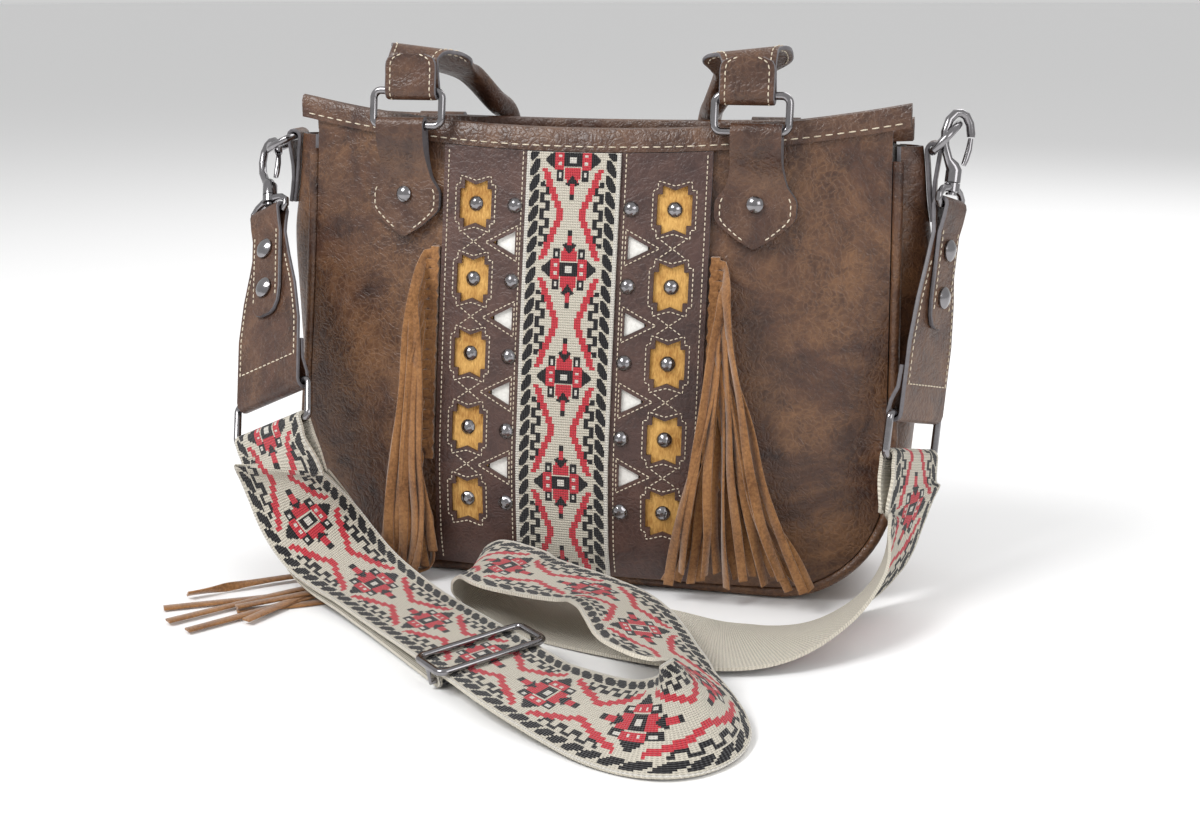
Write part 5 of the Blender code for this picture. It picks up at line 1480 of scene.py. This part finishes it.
def make_strap(left, right, metal):
    """One length of webbing: from the slider back under itself, round the left ring, then to the right."""
    start = ring_loop(left, 1, STRAP_ROUTE[0][:3])
    end = ring_loop(right, -1, STRAP_ROUTE[-1][:3])[::-1]
    upper = smooth_route([start[-1][:6], *STRAP_ROUTE, end[0][:6]], 132)
    slider = np.array(STRAP_ROUTE[SLIDER_POINT][:3])
    reach = int(np.argmin(np.linalg.norm(upper[:, :3] - slider, axis=1)))
    drops = [under_drop(reach - i) if i <= reach + 1 else 0.0 for i in range(len(upper))]
    upper = on_floor(upper, drops)
    along = tangents(upper[:, :3])
    width = np.array([unit(w - np.dot(w, t) * t) for w, t in zip(upper[:, 3:], along)])
    face = np.cross(along, width)
    under = []
    for i in range(1, reach - 1):
        under.append(np.concatenate([upper[i, :3] - under_drop(reach - i) * face[i], width[i], -face[i]]))
    for turn in np.radians(np.linspace(-90, 90, 7)):
        radial = math.cos(turn) * along[reach] + math.sin(turn) * face[reach]
        place = upper[reach, :3] - SLIDER_BAR * face[reach] + SLIDER_LOOP * radial
        under.append(np.concatenate([place, width[reach], radial]))
    end_place = upper[reach, :3] - (SLIDER_BAR - SLIDER_LOOP) * face[reach] - 0.010 * along[reach]
    under.append(np.concatenate([end_place, width[reach], face[reach]]))
    tail = [
        np.concatenate([upper[i, :3] - UNDER_LAYER * face[i], width[i], -face[i]]) for i in (-1, -2, -3, -4)
    ]
    middle = [np.concatenate([row[:3], w, n]) for row, w, n in zip(upper, width, face)]
    rows = under[::-1] + start[:-1] + middle + end[1:] + tail
    make_slider(upper[reach, :3], width[reach], along[reach], face[reach], metal)
    make_webbing(rows)


def make_slider(centre, u, v, out, metal):
    """A frame over the strap and a middle bar under it, which the strap's end goes round."""
    radius = WIRE * 0.85
    width, height = STRAP_WIDTH + 0.0060, 0.024
    clear = STRAP_SHEET / 2 + radius + 2 * GAP
    slider = make_wire_loop(
        "strap_slider", rounded_loop(
            width, height, 0.004,
        ), centre - v * height / 2 + out * clear, u, v, radius, metal
    )
    low = -SLIDER_BAR
    bar = [(-width / 2, clear), (-width / 2, low), (width / 2, low), (width / 2, clear)]
    points = [centre + a * u + n * out for a, n in bar]
    shape = sweep(points, [v] * 4, [circle(WIRE * 0.75)] * 4)
    boolean(slider, (raw_solid("slider_bar", *shape, metal)), "UNION")


# Woven pattern
CREAM = (0.78, 0.72, 0.60)
SELVAGE = (0.84, 0.80, 0.72)
BLACK = (0.012, 0.011, 0.013)
RED = (0.70, 0.045, 0.065)
REPEAT = 55.0  # the pattern's own sizes are in millimetres, u across and v along the band
SELVAGE_U = 23.4
LEAF_U = 20.2
LEAF_PITCH = 7.857
LEAF_SLANT = 0.95
BLOB_U = 14.4
BLOB_PITCH = 8.2
BAND_WIDE_U = 15.0
BAND_STEP = 1.5
BAND_HALF = 1.75
FLOWER_V = 4.4  # the red band starts this far from the flower's middle


def weave_colour(u, v):
    """The yarn's colour u across and v along the band, in metres, with a flower at v = 0."""
    a = abs(u) * 1000
    b = (v * 1000 + REPEAT / 2) % REPEAT - REPEAT / 2
    c = abs(b)
    if a > SELVAGE_U:
        return SELVAGE
    if a < 1.6 and c < 1.6:
        return SELVAGE
    if a < 4.6 and c < 3.5:
        return BLACK
    if 5.0 <= a <= 9.6 and c < 5.2:
        return SELVAGE if 6.2 < a < 7.8 and 1.2 < c < 2.8 else RED
    if 9.0 < a <= 14.6 and c < 0.8 + 4.4 * (14.6 - a) / 5.6:
        return BLACK
    if a < (4.4 if c < 9.5 else 2.9) and 3.8 <= c < 12.0:
        return BLACK if c > 7.4 and a < (c - 7.4) * 0.72 else RED
    if a < 1.3 and 11.0 <= c < 20.0:
        return RED if c < 17.0 else BLACK
    if 4.6 <= a <= 8.6 and 4.4 < c < 10.6:
        return SELVAGE if 5.8 < a < 7.3 and 6.2 < c < 8.8 else BLACK
    if 1.3 <= a <= 3.6 and 11.6 <= c <= 14.2 - 0.5 * a:
        return BLACK
    if c >= FLOWER_V:
        middle = BAND_WIDE_U - (c - FLOWER_V) * 9.5 / 23.1
        middle = round(middle / BAND_STEP) * BAND_STEP
        if abs(a - middle) < BAND_HALF:
            return RED
    if 11.6 <= a <= 17.0 and c > 11.0:
        sway = BLOB_U + 1.9 * math.copysign(1.0, math.sin(c * 2 * math.pi / BLOB_PITCH))
        if abs(a - sway) < 1.45 or (abs(a - BLOB_U) < 2.8 and c % 4.1 < 1.2):
            return BLACK
    if 17.4 <= a <= 23.0:
        phase = ((b + (a - LEAF_U) * LEAF_SLANT) % LEAF_PITCH) / LEAF_PITCH
        if abs(a - LEAF_U) < 3.2 * (1 - abs(2 * phase - 1) ** 2.2) and phase > 0.08:
            return BLACK
    return CREAM


def dress_weave(piece, colours, coordinates):
    """Put each face's yarn colour and each corner's place on the cloth (mm) on a piece."""
    mesh = piece.data
    yarn = mesh.color_attributes.new("yarn", "FLOAT_COLOR", "CORNER")
    cloth = mesh.uv_layers.new(name="cloth")
    index = np.empty(len(mesh.loops), np.int32)
    mesh.loops.foreach_get("vertex_index", index)
    tones = np.ones((len(mesh.loops), 4), np.float32)
    tones[:, :3] = np.repeat(
        np.array(colours, np.float32), [len(p.vertices) for p in mesh.polygons], axis=0
    )
    yarn.data.foreach_set("color", tones.reshape(-1))
    cloth.data.foreach_set("uv", np.array(coordinates, np.float32)[index].reshape(-1))


RIBBON_COLUMNS = 83
RIBBON_ROWS = 380
RIBBON_FLOWER = 0.170  # height of one flower's middle on the ribbon


def make_ribbon(on_top, low):
    half = RIBBON_WIDTH / 2
    vertices, faces, marks = front_patch(
        -half, half, low, None, on_top, RIBBON_SHEET, RIBBON_COLUMNS, RIBBON_ROWS,
    )
    colours = []
    points = np.array(vertices)
    for face, mark in zip(faces, marks):
        middle = points[list(face)].mean(axis=0)
        colours.append(SELVAGE if mark else weave_colour(middle[0], middle[2] - RIBBON_FLOWER))
    made = add("woven_ribbon_skin", vertices, faces, WEAVE, ("woven_ribbon",))
    dress_weave(made, colours, [(p[0] * 1000, p[2] * 1000) for p in points])


STRAP_FLOWER = 0.030  # from the strap's hidden end to its first flower
STRAP_CELLS = 58
STRAP_STEP = 0.00105  # along the strap, between rows of yarn cells


def strap_section():
    w, t = STRAP_WIDTH / 2, STRAP_SHEET / 2
    top = [(a, t) for a in np.linspace(w, -w, STRAP_CELLS + 1)]
    below = [(a, -t) for a in np.linspace(-w, w, 9)]
    return top + below


def make_webbing(rows):
    """The strap, with its pattern on the face side and plain cream behind."""
    rows = np.array(rows)
    along = np.concatenate([[0], np.cumsum(np.linalg.norm(np.diff(rows[:, :3], axis=0), axis=1))])
    count = int(along[-1] / STRAP_STEP)
    places = np.linspace(0, along[-1], count)
    fine = smooth_route(rows, count)
    section = strap_section()
    k = len(section)
    vertices, coordinates = [], []
    for place, row in zip(places, fine):
        w = unit(row[3:6])
        n = unit(row[6:] - np.dot(row[6:], w) * w)
        for a, b in section:
            vertices.append(row[:3] + a * w + b * n)
            coordinates.append((a * 1000, place * 1000))
    faces, colours = [], []
    for i in range(count - 1):
        for j in range(k):
            up = (j + 1) % k
            faces.append((i * k + j, i * k + up, (i + 1) * k + up, (i + 1) * k + j))
            if j < STRAP_CELLS:
                u = (section[j][0] + section[up][0]) / 2
                colours.append(weave_colour(u, (places[i] + places[i + 1]) / 2 - STRAP_FLOWER))
            else:
                colours.append(CREAM)
    faces += [tuple(range(k)), tuple((count - 1) * k + j for j in range(k))]
    colours += [CREAM, CREAM]
    made = add("strap_webbing_skin", vertices, faces, WEAVE, ("strap_webbing",), smooth=50)
    dress_weave(made, colours, coordinates)


# Stitching
SEAM_MARGIN = 0.0026  # from an edge to its row of stitches
WINDOW_MARGIN = 0.0022  # from a window's edge to the stitches round it
FINE_STITCH = (0.0026, 0.00034)  # pitch and thread radius
EDGE_STITCH = (0.0034, 0.00040)
HANDLE_STITCH = (0.0034, 0.00038)
RIM_STITCH = (0.0058, 0.00042)


def panel_line(corners, lift, side=-1, closed=False):
    """A line over a panel between (x, z) corners, this far off its face."""
    corners = list(corners) + ([corners[0]] if closed else [])
    points, normals = [], []
    for (xa, za), (xb, zb) in zip(corners, corners[1:]):
        steps = max(int(math.hypot(xb - xa, zb - za) / 0.0015), 1)
        for s in np.linspace(0, 1, steps + 1):
            x, z = xa + s * (xb - xa), za + s * (zb - za)
            points.append((x, side * (depth(x, z) + lift), z))
            normals.append(panel_normal(side, x, z))
    return points, normals


def grown(corners, x, z, by):
    """An outline moved outward from its middle."""
    return [
        (a + math.copysign(by, a - x) if abs(a - x) > 0.001 else a, b + math.copysign(by, b - z)) for a,
        b in corners
    ]


def sew_front():
    on_overlay = SEAT + INLAY_SHEET + GAP + OVERLAY_SHEET
    low = SEAM_Z + PIPING_RADIUS + 0.002
    top = RIM_HEIGHT - BINDING_HEIGHT
    lines = []
    for side in (-1, 1):
        for x in (OVERLAY_WIDTH / 2 - SEAM_MARGIN, RIBBON_WIDTH / 2 + SEAM_MARGIN):
            lines.append(panel_line([(side * x, low + 0.002), (side * x, top)], on_overlay))
        for row in range(ROWS):
            z = row_height(row)
            middle = side * INLAY_X
            outline = grown(inlay_outline(middle, z), middle, z, WINDOW_MARGIN)
            lines.append(panel_line(outline, on_overlay, closed=True))
        for row in range(ROWS - 1):
            z = row_height(row) - ROW_PITCH / 2
            tip = side * (TRIANGLE_X + TRIANGLE_HALF + 0.0042)
            back = side * (TRIANGLE_X - TRIANGLE_HALF - 0.0012)
            edge = TRIANGLE_HALF + 0.0030
            lines.append(panel_line([(tip, z), (back, z + edge), (back, z - edge)], on_overlay, closed=True))
            middle = side * INLAY_X
            reach = INLAY_STEP
            lines.append(panel_line([(middle - reach, z - 0.0045), (middle + reach, z + 0.0045)], on_overlay))
            lines.append(panel_line([(middle - reach, z + 0.0045), (middle + reach, z - 0.0045)], on_overlay))
    thread(stitches(lines, *FINE_STITCH), "front_stitching", THREAD)


def thread(shape, name, finish, body="bag"):
    return add(name, shape[0], shape[1], finish, (), body, 60)


def sew_rims():
    lines = []
    middle = (LEATHER + LINING_GAP + LINING) / 2
    for side in (-1, 1):
        reach = TOP_WIDTH / 2 + BINDING_OVERHANG - 0.003
        points = []
        for dx in np.linspace(-reach, reach, 120):
            x = LEAN + dx
            z = rim_height(side, x) - 0.78 * BINDING_HEIGHT
            points.append((x, side * (depth(x, z) - middle + BINDING_HALF), z))
        lines.append((points, [(0, side, 0)] * len(points)))
    thread(stitches(lines, *RIM_STITCH), "rim_stitching", THREAD)


def sew_tabs():
    lines = []
    for side in (-1, 1):
        for end in (-1, 1):
            x = end * (HANDLE_X + TAB_SHIFT)
            _, cz = loop_centre(side)
            for sign in (-1, 1):
                line = [
                    (
                        x + sign * (tab_half(s) - 0.0028), cz - s * TAB_LENGTH,
                    ) for s in np.linspace(0.56, 0.93, 22)
                ]
                lines.append(panel_line(line, SEAT + TAB_SHEET, side))
    thread(stitches(lines, *EDGE_STITCH), "tab_stitching", THREAD)


def sew_chape(name, chain):
    """Rows of stitches down both leaves of a chape."""
    t = CHAPE_LEATHER
    lay = t / 2 + 0.00025
    lines = []
    normal = chain.out(EYE_AT)
    wide = smooth_table(
        (
            (EYE_AT + 0.014, 0.012), (EYE_AT + 0.030, 0.0155), (EYE_AT + 0.048, 0.0202),
            (EYE_AT + 0.070, 0.0235),
        )
    )
    for sign in (-1, 1):
        front = [
            chain.at(
                EYE_AT + a, sign * (CHAPE_TOP_WIDTH / 2 - 0.0024), lay + t / 2,
            ) for a in np.linspace(0.012, 0.053, 14)
        ]
        lines.append((front, [normal] * len(front)))
        places = np.linspace(EYE_AT + 0.028, chain.low - 0.014, 24)
        leaf = [chain.at(a, sign * (wide(a) - 0.0026), -lay + t / 2) for a in places]
        lines.append((leaf, [normal] * len(leaf)))
    across = [chain.at(chain.low - 0.015, b, -lay + t / 2) for b in np.linspace(-0.020, 0.020, 10)]
    lines.append((across, [normal] * len(across)))
    thread(stitches(lines, *EDGE_STITCH), f"chape_stitching_{name}", THREAD)


def sew_handle(name, fine):
    """Stitches along both edges of a handle's flat ends."""
    points = fine[:, :3]
    along = tangents(points)
    widths = carried(points, (1, 0, 0))
    lines = []
    run = {key: ([], []) for key in ((-1, -1), (-1, 1), (1, -1), (1, 1))}
    for row, t, w in zip(fine, along, widths):
        flat = row[5] > 0.95
        n = np.cross(t, w)
        for (sign, face), (line, normals) in run.items():
            if flat:
                line.append(row[:3] + sign * (row[3] / 2 - 0.0030) * w + face * row[4] / 2 * n)
                normals.append(face * n)
            elif len(line) > 3:
                lines.append((list(line), list(normals)))
                line.clear()
                normals.clear()
    thread(stitches(lines, *HANDLE_STITCH), f"{name}_stitching", THREAD, name)
    mirror = [
        ([p * np.array((-1, 1, 1)) for p in line], [n * np.array((-1, 1, 1)) for n in normals]) for line,
        normals in lines
    ]
    thread(stitches(mirror, *HANDLE_STITCH), f"{name}_stitching_right", THREAD, name)


HANDLE_STATIONS = 150  # along half of a handle


def make_handle(name, rows, leather):
    """A handle from one half, mirrored: flat sewn ends with painted edges, and a round middle."""
    table = np.array([[*point, w, t, q] for point, w, t, q in rows], float)
    fine = smooth_route(table, HANDLE_STATIONS)
    mirror = np.array((-1.0, 1.0, 1.0))
    half = fine[:, :3]
    whole = list(half) + [p * mirror for p in half[-2::-1]]
    left = carried(whole, (1, 0, 0))[: len(half)]
    widths = left + [w * mirror for w in left[-2::-1]]
    shape_rows = list(fine) + list(fine[-2::-1])
    sections = [oval(r[3], r[4], min(max(r[5], 0), 1)) for r in shape_rows]
    vertices, faces, _ = sweep(whole, widths, sections)
    k = len(sections[0])
    marks = []
    for i in range(len(whole) - 1):
        flat = shape_rows[i][5] > 0.8
        for j in range(k):
            a = (sections[i][j][0] + sections[i][(j + 1) % k][0]) / 2
            marks.append(1 if flat and abs(a) > 0.485 * shape_rows[i][3] else 0)
    marks += [1, 1]
    made = add(
        f"{name}_skin", vertices, faces, leather, (name,), name, 40, marks, (EDGE,),
    )
    sew_handle(name, fine)
    return made


# Fringe
STRIPS = 20
STRIP_STATIONS = 70
FAN = {-1: (-0.012, 0.022), 1: (-0.026, 0.056)}  # nearest and furthest foot, beside the sewn edge
TIP_PLACES = (
    (-0.152, -0.136), (-0.190, -0.142), (-0.163, -0.168), (-0.178, -0.160), (-0.140, -0.150),
    (-0.186, -0.124),
)


def hanging_route(side, share, layer):
    """A strip's points: out of the sewn edge, over its fold, and down to its own place above the floor."""
    x0 = side * (OVERLAY_WIDTH / 2 + 0.003)
    z0 = FRINGE_TOP - 0.004 - share * (FRINGE_BASE - 0.012)
    near, far = FAN[side]
    foot = near + (far - near) * ((layer * 0.618) % 1.0)
    off = 0.0042 + layer * 0.00052
    swell = random.uniform(0.0, 0.0035)
    points = [
        (x0 + side * 0.0005, -depth(x0, z0) - 0.0030, z0),
        (x0 + side * 0.0060, -depth(x0, z0) - 0.0040, z0 - 0.001),
    ]
    low = random.uniform(0.006, 0.020)
    for drop in (0.10, 0.24, 0.42, 0.62, 0.82, 1.0):
        z = z0 * (1 - drop) + low * drop
        wobble = random.uniform(-0.0015, 0.0015)
        x = x0 + side * (0.0068 + foot * drop**1.2) + wobble
        y = -depth(x0, z) - off - swell * math.sin(math.pi * drop) - 0.004 * drop
        points.append((x, y, z))
    return points


def make_fringe(name, side, suede):
    """A sewn suede edge and strips that fan out as they fall, each with its own sway and twist."""
    x0 = side * (OVERLAY_WIDTH / 2 + 0.0014)
    outer, inner = [], []
    for z in np.linspace(FRINGE_TOP - FRINGE_BASE, FRINGE_TOP, 40):
        places = np.linspace(x0, x0 + side * 0.0045, 4)
        wave = 0.0006 * math.sin(z * 900)
        outer.append([(x + side * wave, -depth(x, z) - SEAT - 0.0032 - 0.4 * wave, z) for x in places])
        inner.append([(x, -depth(x, z) - SEAT, z) for x in places])
    parts = [slab(outer, inner)]
    for i in range(STRIPS):
        share = i / (STRIPS - 1)
        route = hanging_route(side, share, STRIPS - 1 - i)
        if side < 0 and i % 3 == 1:
            route = route[:-1] + floor_end(route[-1], i)
        fine = smooth_route(route, STRIP_STATIONS)
        twist = math.radians(random.choice((-1, 1)) * random.uniform(25, 75))
        phase = random.uniform(0.6, 1.6)
        widths, sections = [], []
        for s in np.linspace(0, 1, len(fine)):
            turned = min(max((s - 0.03) * 9, 0), 1)
            swing = twist * math.sin(math.pi * s * phase)
            flat = (1 - turned) * np.array((0, 0, 1.0)) + turned * np.array(
                (side * math.cos(swing), math.sin(swing), 0.05)
            )
            widths.append(unit(flat))
            width = STRIP_WIDTH * (0.80 + 0.06 * math.sin(9 * s + i))
            sections.append(sheet_section(width, STRIP_SHEET * 0.85))
        parts.append(sweep(fine, widths, sections))
    vertices, faces, _ = joined(parts)
    add(f"{name}_skin", vertices, faces, suede, (name,), smooth=50)


def floor_end(last, index):
    """A strip that reaches the floor and runs out sideways over it."""
    tx, ty = TIP_PLACES[(index // 3) % len(TIP_PLACES)]
    height = 0.0012 + 0.0004 * (index // 3)
    x, y, _ = last
    bow = 0.006 * math.sin(2.3 * index)
    middle = (0.5 * (x + tx) + bow, 0.5 * (y + ty) - bow, height)
    return [(x - 0.004, y - 0.002, 0.0100), (x - 0.014, y - 0.004, 0.0030), middle, (tx, ty, height)]


# Studs
def make_studs():
    on_overlay = SEAT + INLAY_SHEET + GAP + OVERLAY_SHEET
    parts = []
    for side in (-1, 1):
        for row in range(ROWS):
            for x, lift in ((side * STUD_X, on_overlay), (side * INLAY_X, SEAT + INLAY_SHEET)):
                z = row_height(row)
                normal = panel_normal(-1, x, z)
                across = unit(np.cross(normal, (0, 0, 1)))
                up = np.cross(across, normal)
                centre = np.array((x, -depth(x, z) - lift, z))
                rings = ((1.0, -0.0003), (1.0, 0.0005), (0.93, 0.0011), (0.62, 0.0021), (0.30, 0.0026))
                vertices = []
                for share, out in rings:
                    for a, b in circle(STUD_RADIUS * share, 8 if share < 0.95 else 24)[:24]:
                        vertices.append(centre + a * across + b * up + out * normal)
                parts.append(stud_faces(vertices))
    vertices, faces, _ = joined(parts)
    add("front_studs", vertices, faces, METAL, (), smooth=20)


def stud_faces(vertices):
    """Two round base rings of 24 points, then three facet rings of 8."""
    faces = [tuple(range(24))]
    for j in range(24):
        faces.append((j, (j + 1) % 24, 24 + (j + 1) % 24, 24 + j))
    for j in range(8):
        after = (j + 1) % 8
        rim = [24 + (3 * j + m + 1) % 24 for m in range(4)]
        faces.append((*rim, 48 + after, 48 + j))
        for start in (48, 56):
            faces.append((start + j, start + after, start + 8 + after, start + 8 + j))
    faces.append(tuple(range(64, 72)))
    return vertices, faces


CAMERA_PLACE = (0.228, -0.868, 0.307)
CAMERA_TURNS = (math.radians(76), 0, math.radians(14.4))
LENS = 50
SENSOR = 36
AMBIENT = 0.62
FLOOR_TONE = 0.93
LIGHT_AIM = {"key": 0.1, "fill": 0.1, "back": 0.15}  # heights that the lights point at
LIGHTS = (  # name, place, power, size
    ("key", (-0.9, -1.0, 1.6), 27, 0.8),
    ("fill", (1.5, -1.1, 1.0), 9, 1.0),
    ("back", (0.5, 1.4, 1.5), 14, 1.2),
)


def make_room():
    """A pale floor, soft lights and the camera."""
    scene = bpy.context.scene
    mesh = bpy.data.meshes.new("floor")
    mesh.from_pydata([(-40, -40, 0), (40, -40, 0), (40, 80, 0), (-40, 80, 0)], [], [(0, 1, 2, 3)])
    finish, _, _, shader = nodes_of("pale_floor", 0.75)
    shader.inputs["Base Color"].default_value = (FLOOR_TONE, FLOOR_TONE, FLOOR_TONE, 1)
    mesh.materials.append(finish)
    floor = bpy.data.objects.new("floor", mesh)
    scene.collection.objects.link(floor)
    world = bpy.data.worlds.new("studio")
    world.use_nodes = True
    world.node_tree.nodes["Background"].inputs["Color"].default_value = (1, 1, 1, 1)
    world.node_tree.nodes["Background"].inputs["Strength"].default_value = AMBIENT
    scene.world = world
    for name, place, energy, size in LIGHTS:
        lamp = bpy.data.lights.new(name, "AREA")
        lamp.energy = energy
        lamp.size = size
        made = bpy.data.objects.new(name, lamp)
        made.location = place
        towards = np.array((0, 0, LIGHT_AIM[name])) - np.array(place)
        made.rotation_euler = Vector(towards).to_track_quat("-Z", "Y").to_euler()
        scene.collection.objects.link(made)
    lens = bpy.data.cameras.new("camera")
    lens.lens = LENS
    lens.sensor_width = SENSOR
    camera = bpy.data.objects.new("camera", lens)
    camera.location = CAMERA_PLACE
    camera.rotation_euler = CAMERA_TURNS
    scene.collection.objects.link(camera)
    scene.camera = camera
    scene.view_settings.view_transform = "Standard"


make_body(BROWN, CLOTH, BOARD)
make_bindings(TRIM)
make_front(OVERLAY, HIDE, WHITE)
make_studs()
make_handles(TRIM, METAL)
left, right = left_chain(), right_chain()
make_side(-1, "left", left, TRIM, METAL)
make_side(1, "right", right, TRIM, METAL)
make_strap(left, right, METAL)
make_fringe("fringe_left", -1, SUEDE)
make_fringe("fringe_right", 1, SUEDE)
sew_front()
sew_rims()
sew_tabs()
sew_chape("left", left)
sew_chape("right", right)
make_room()
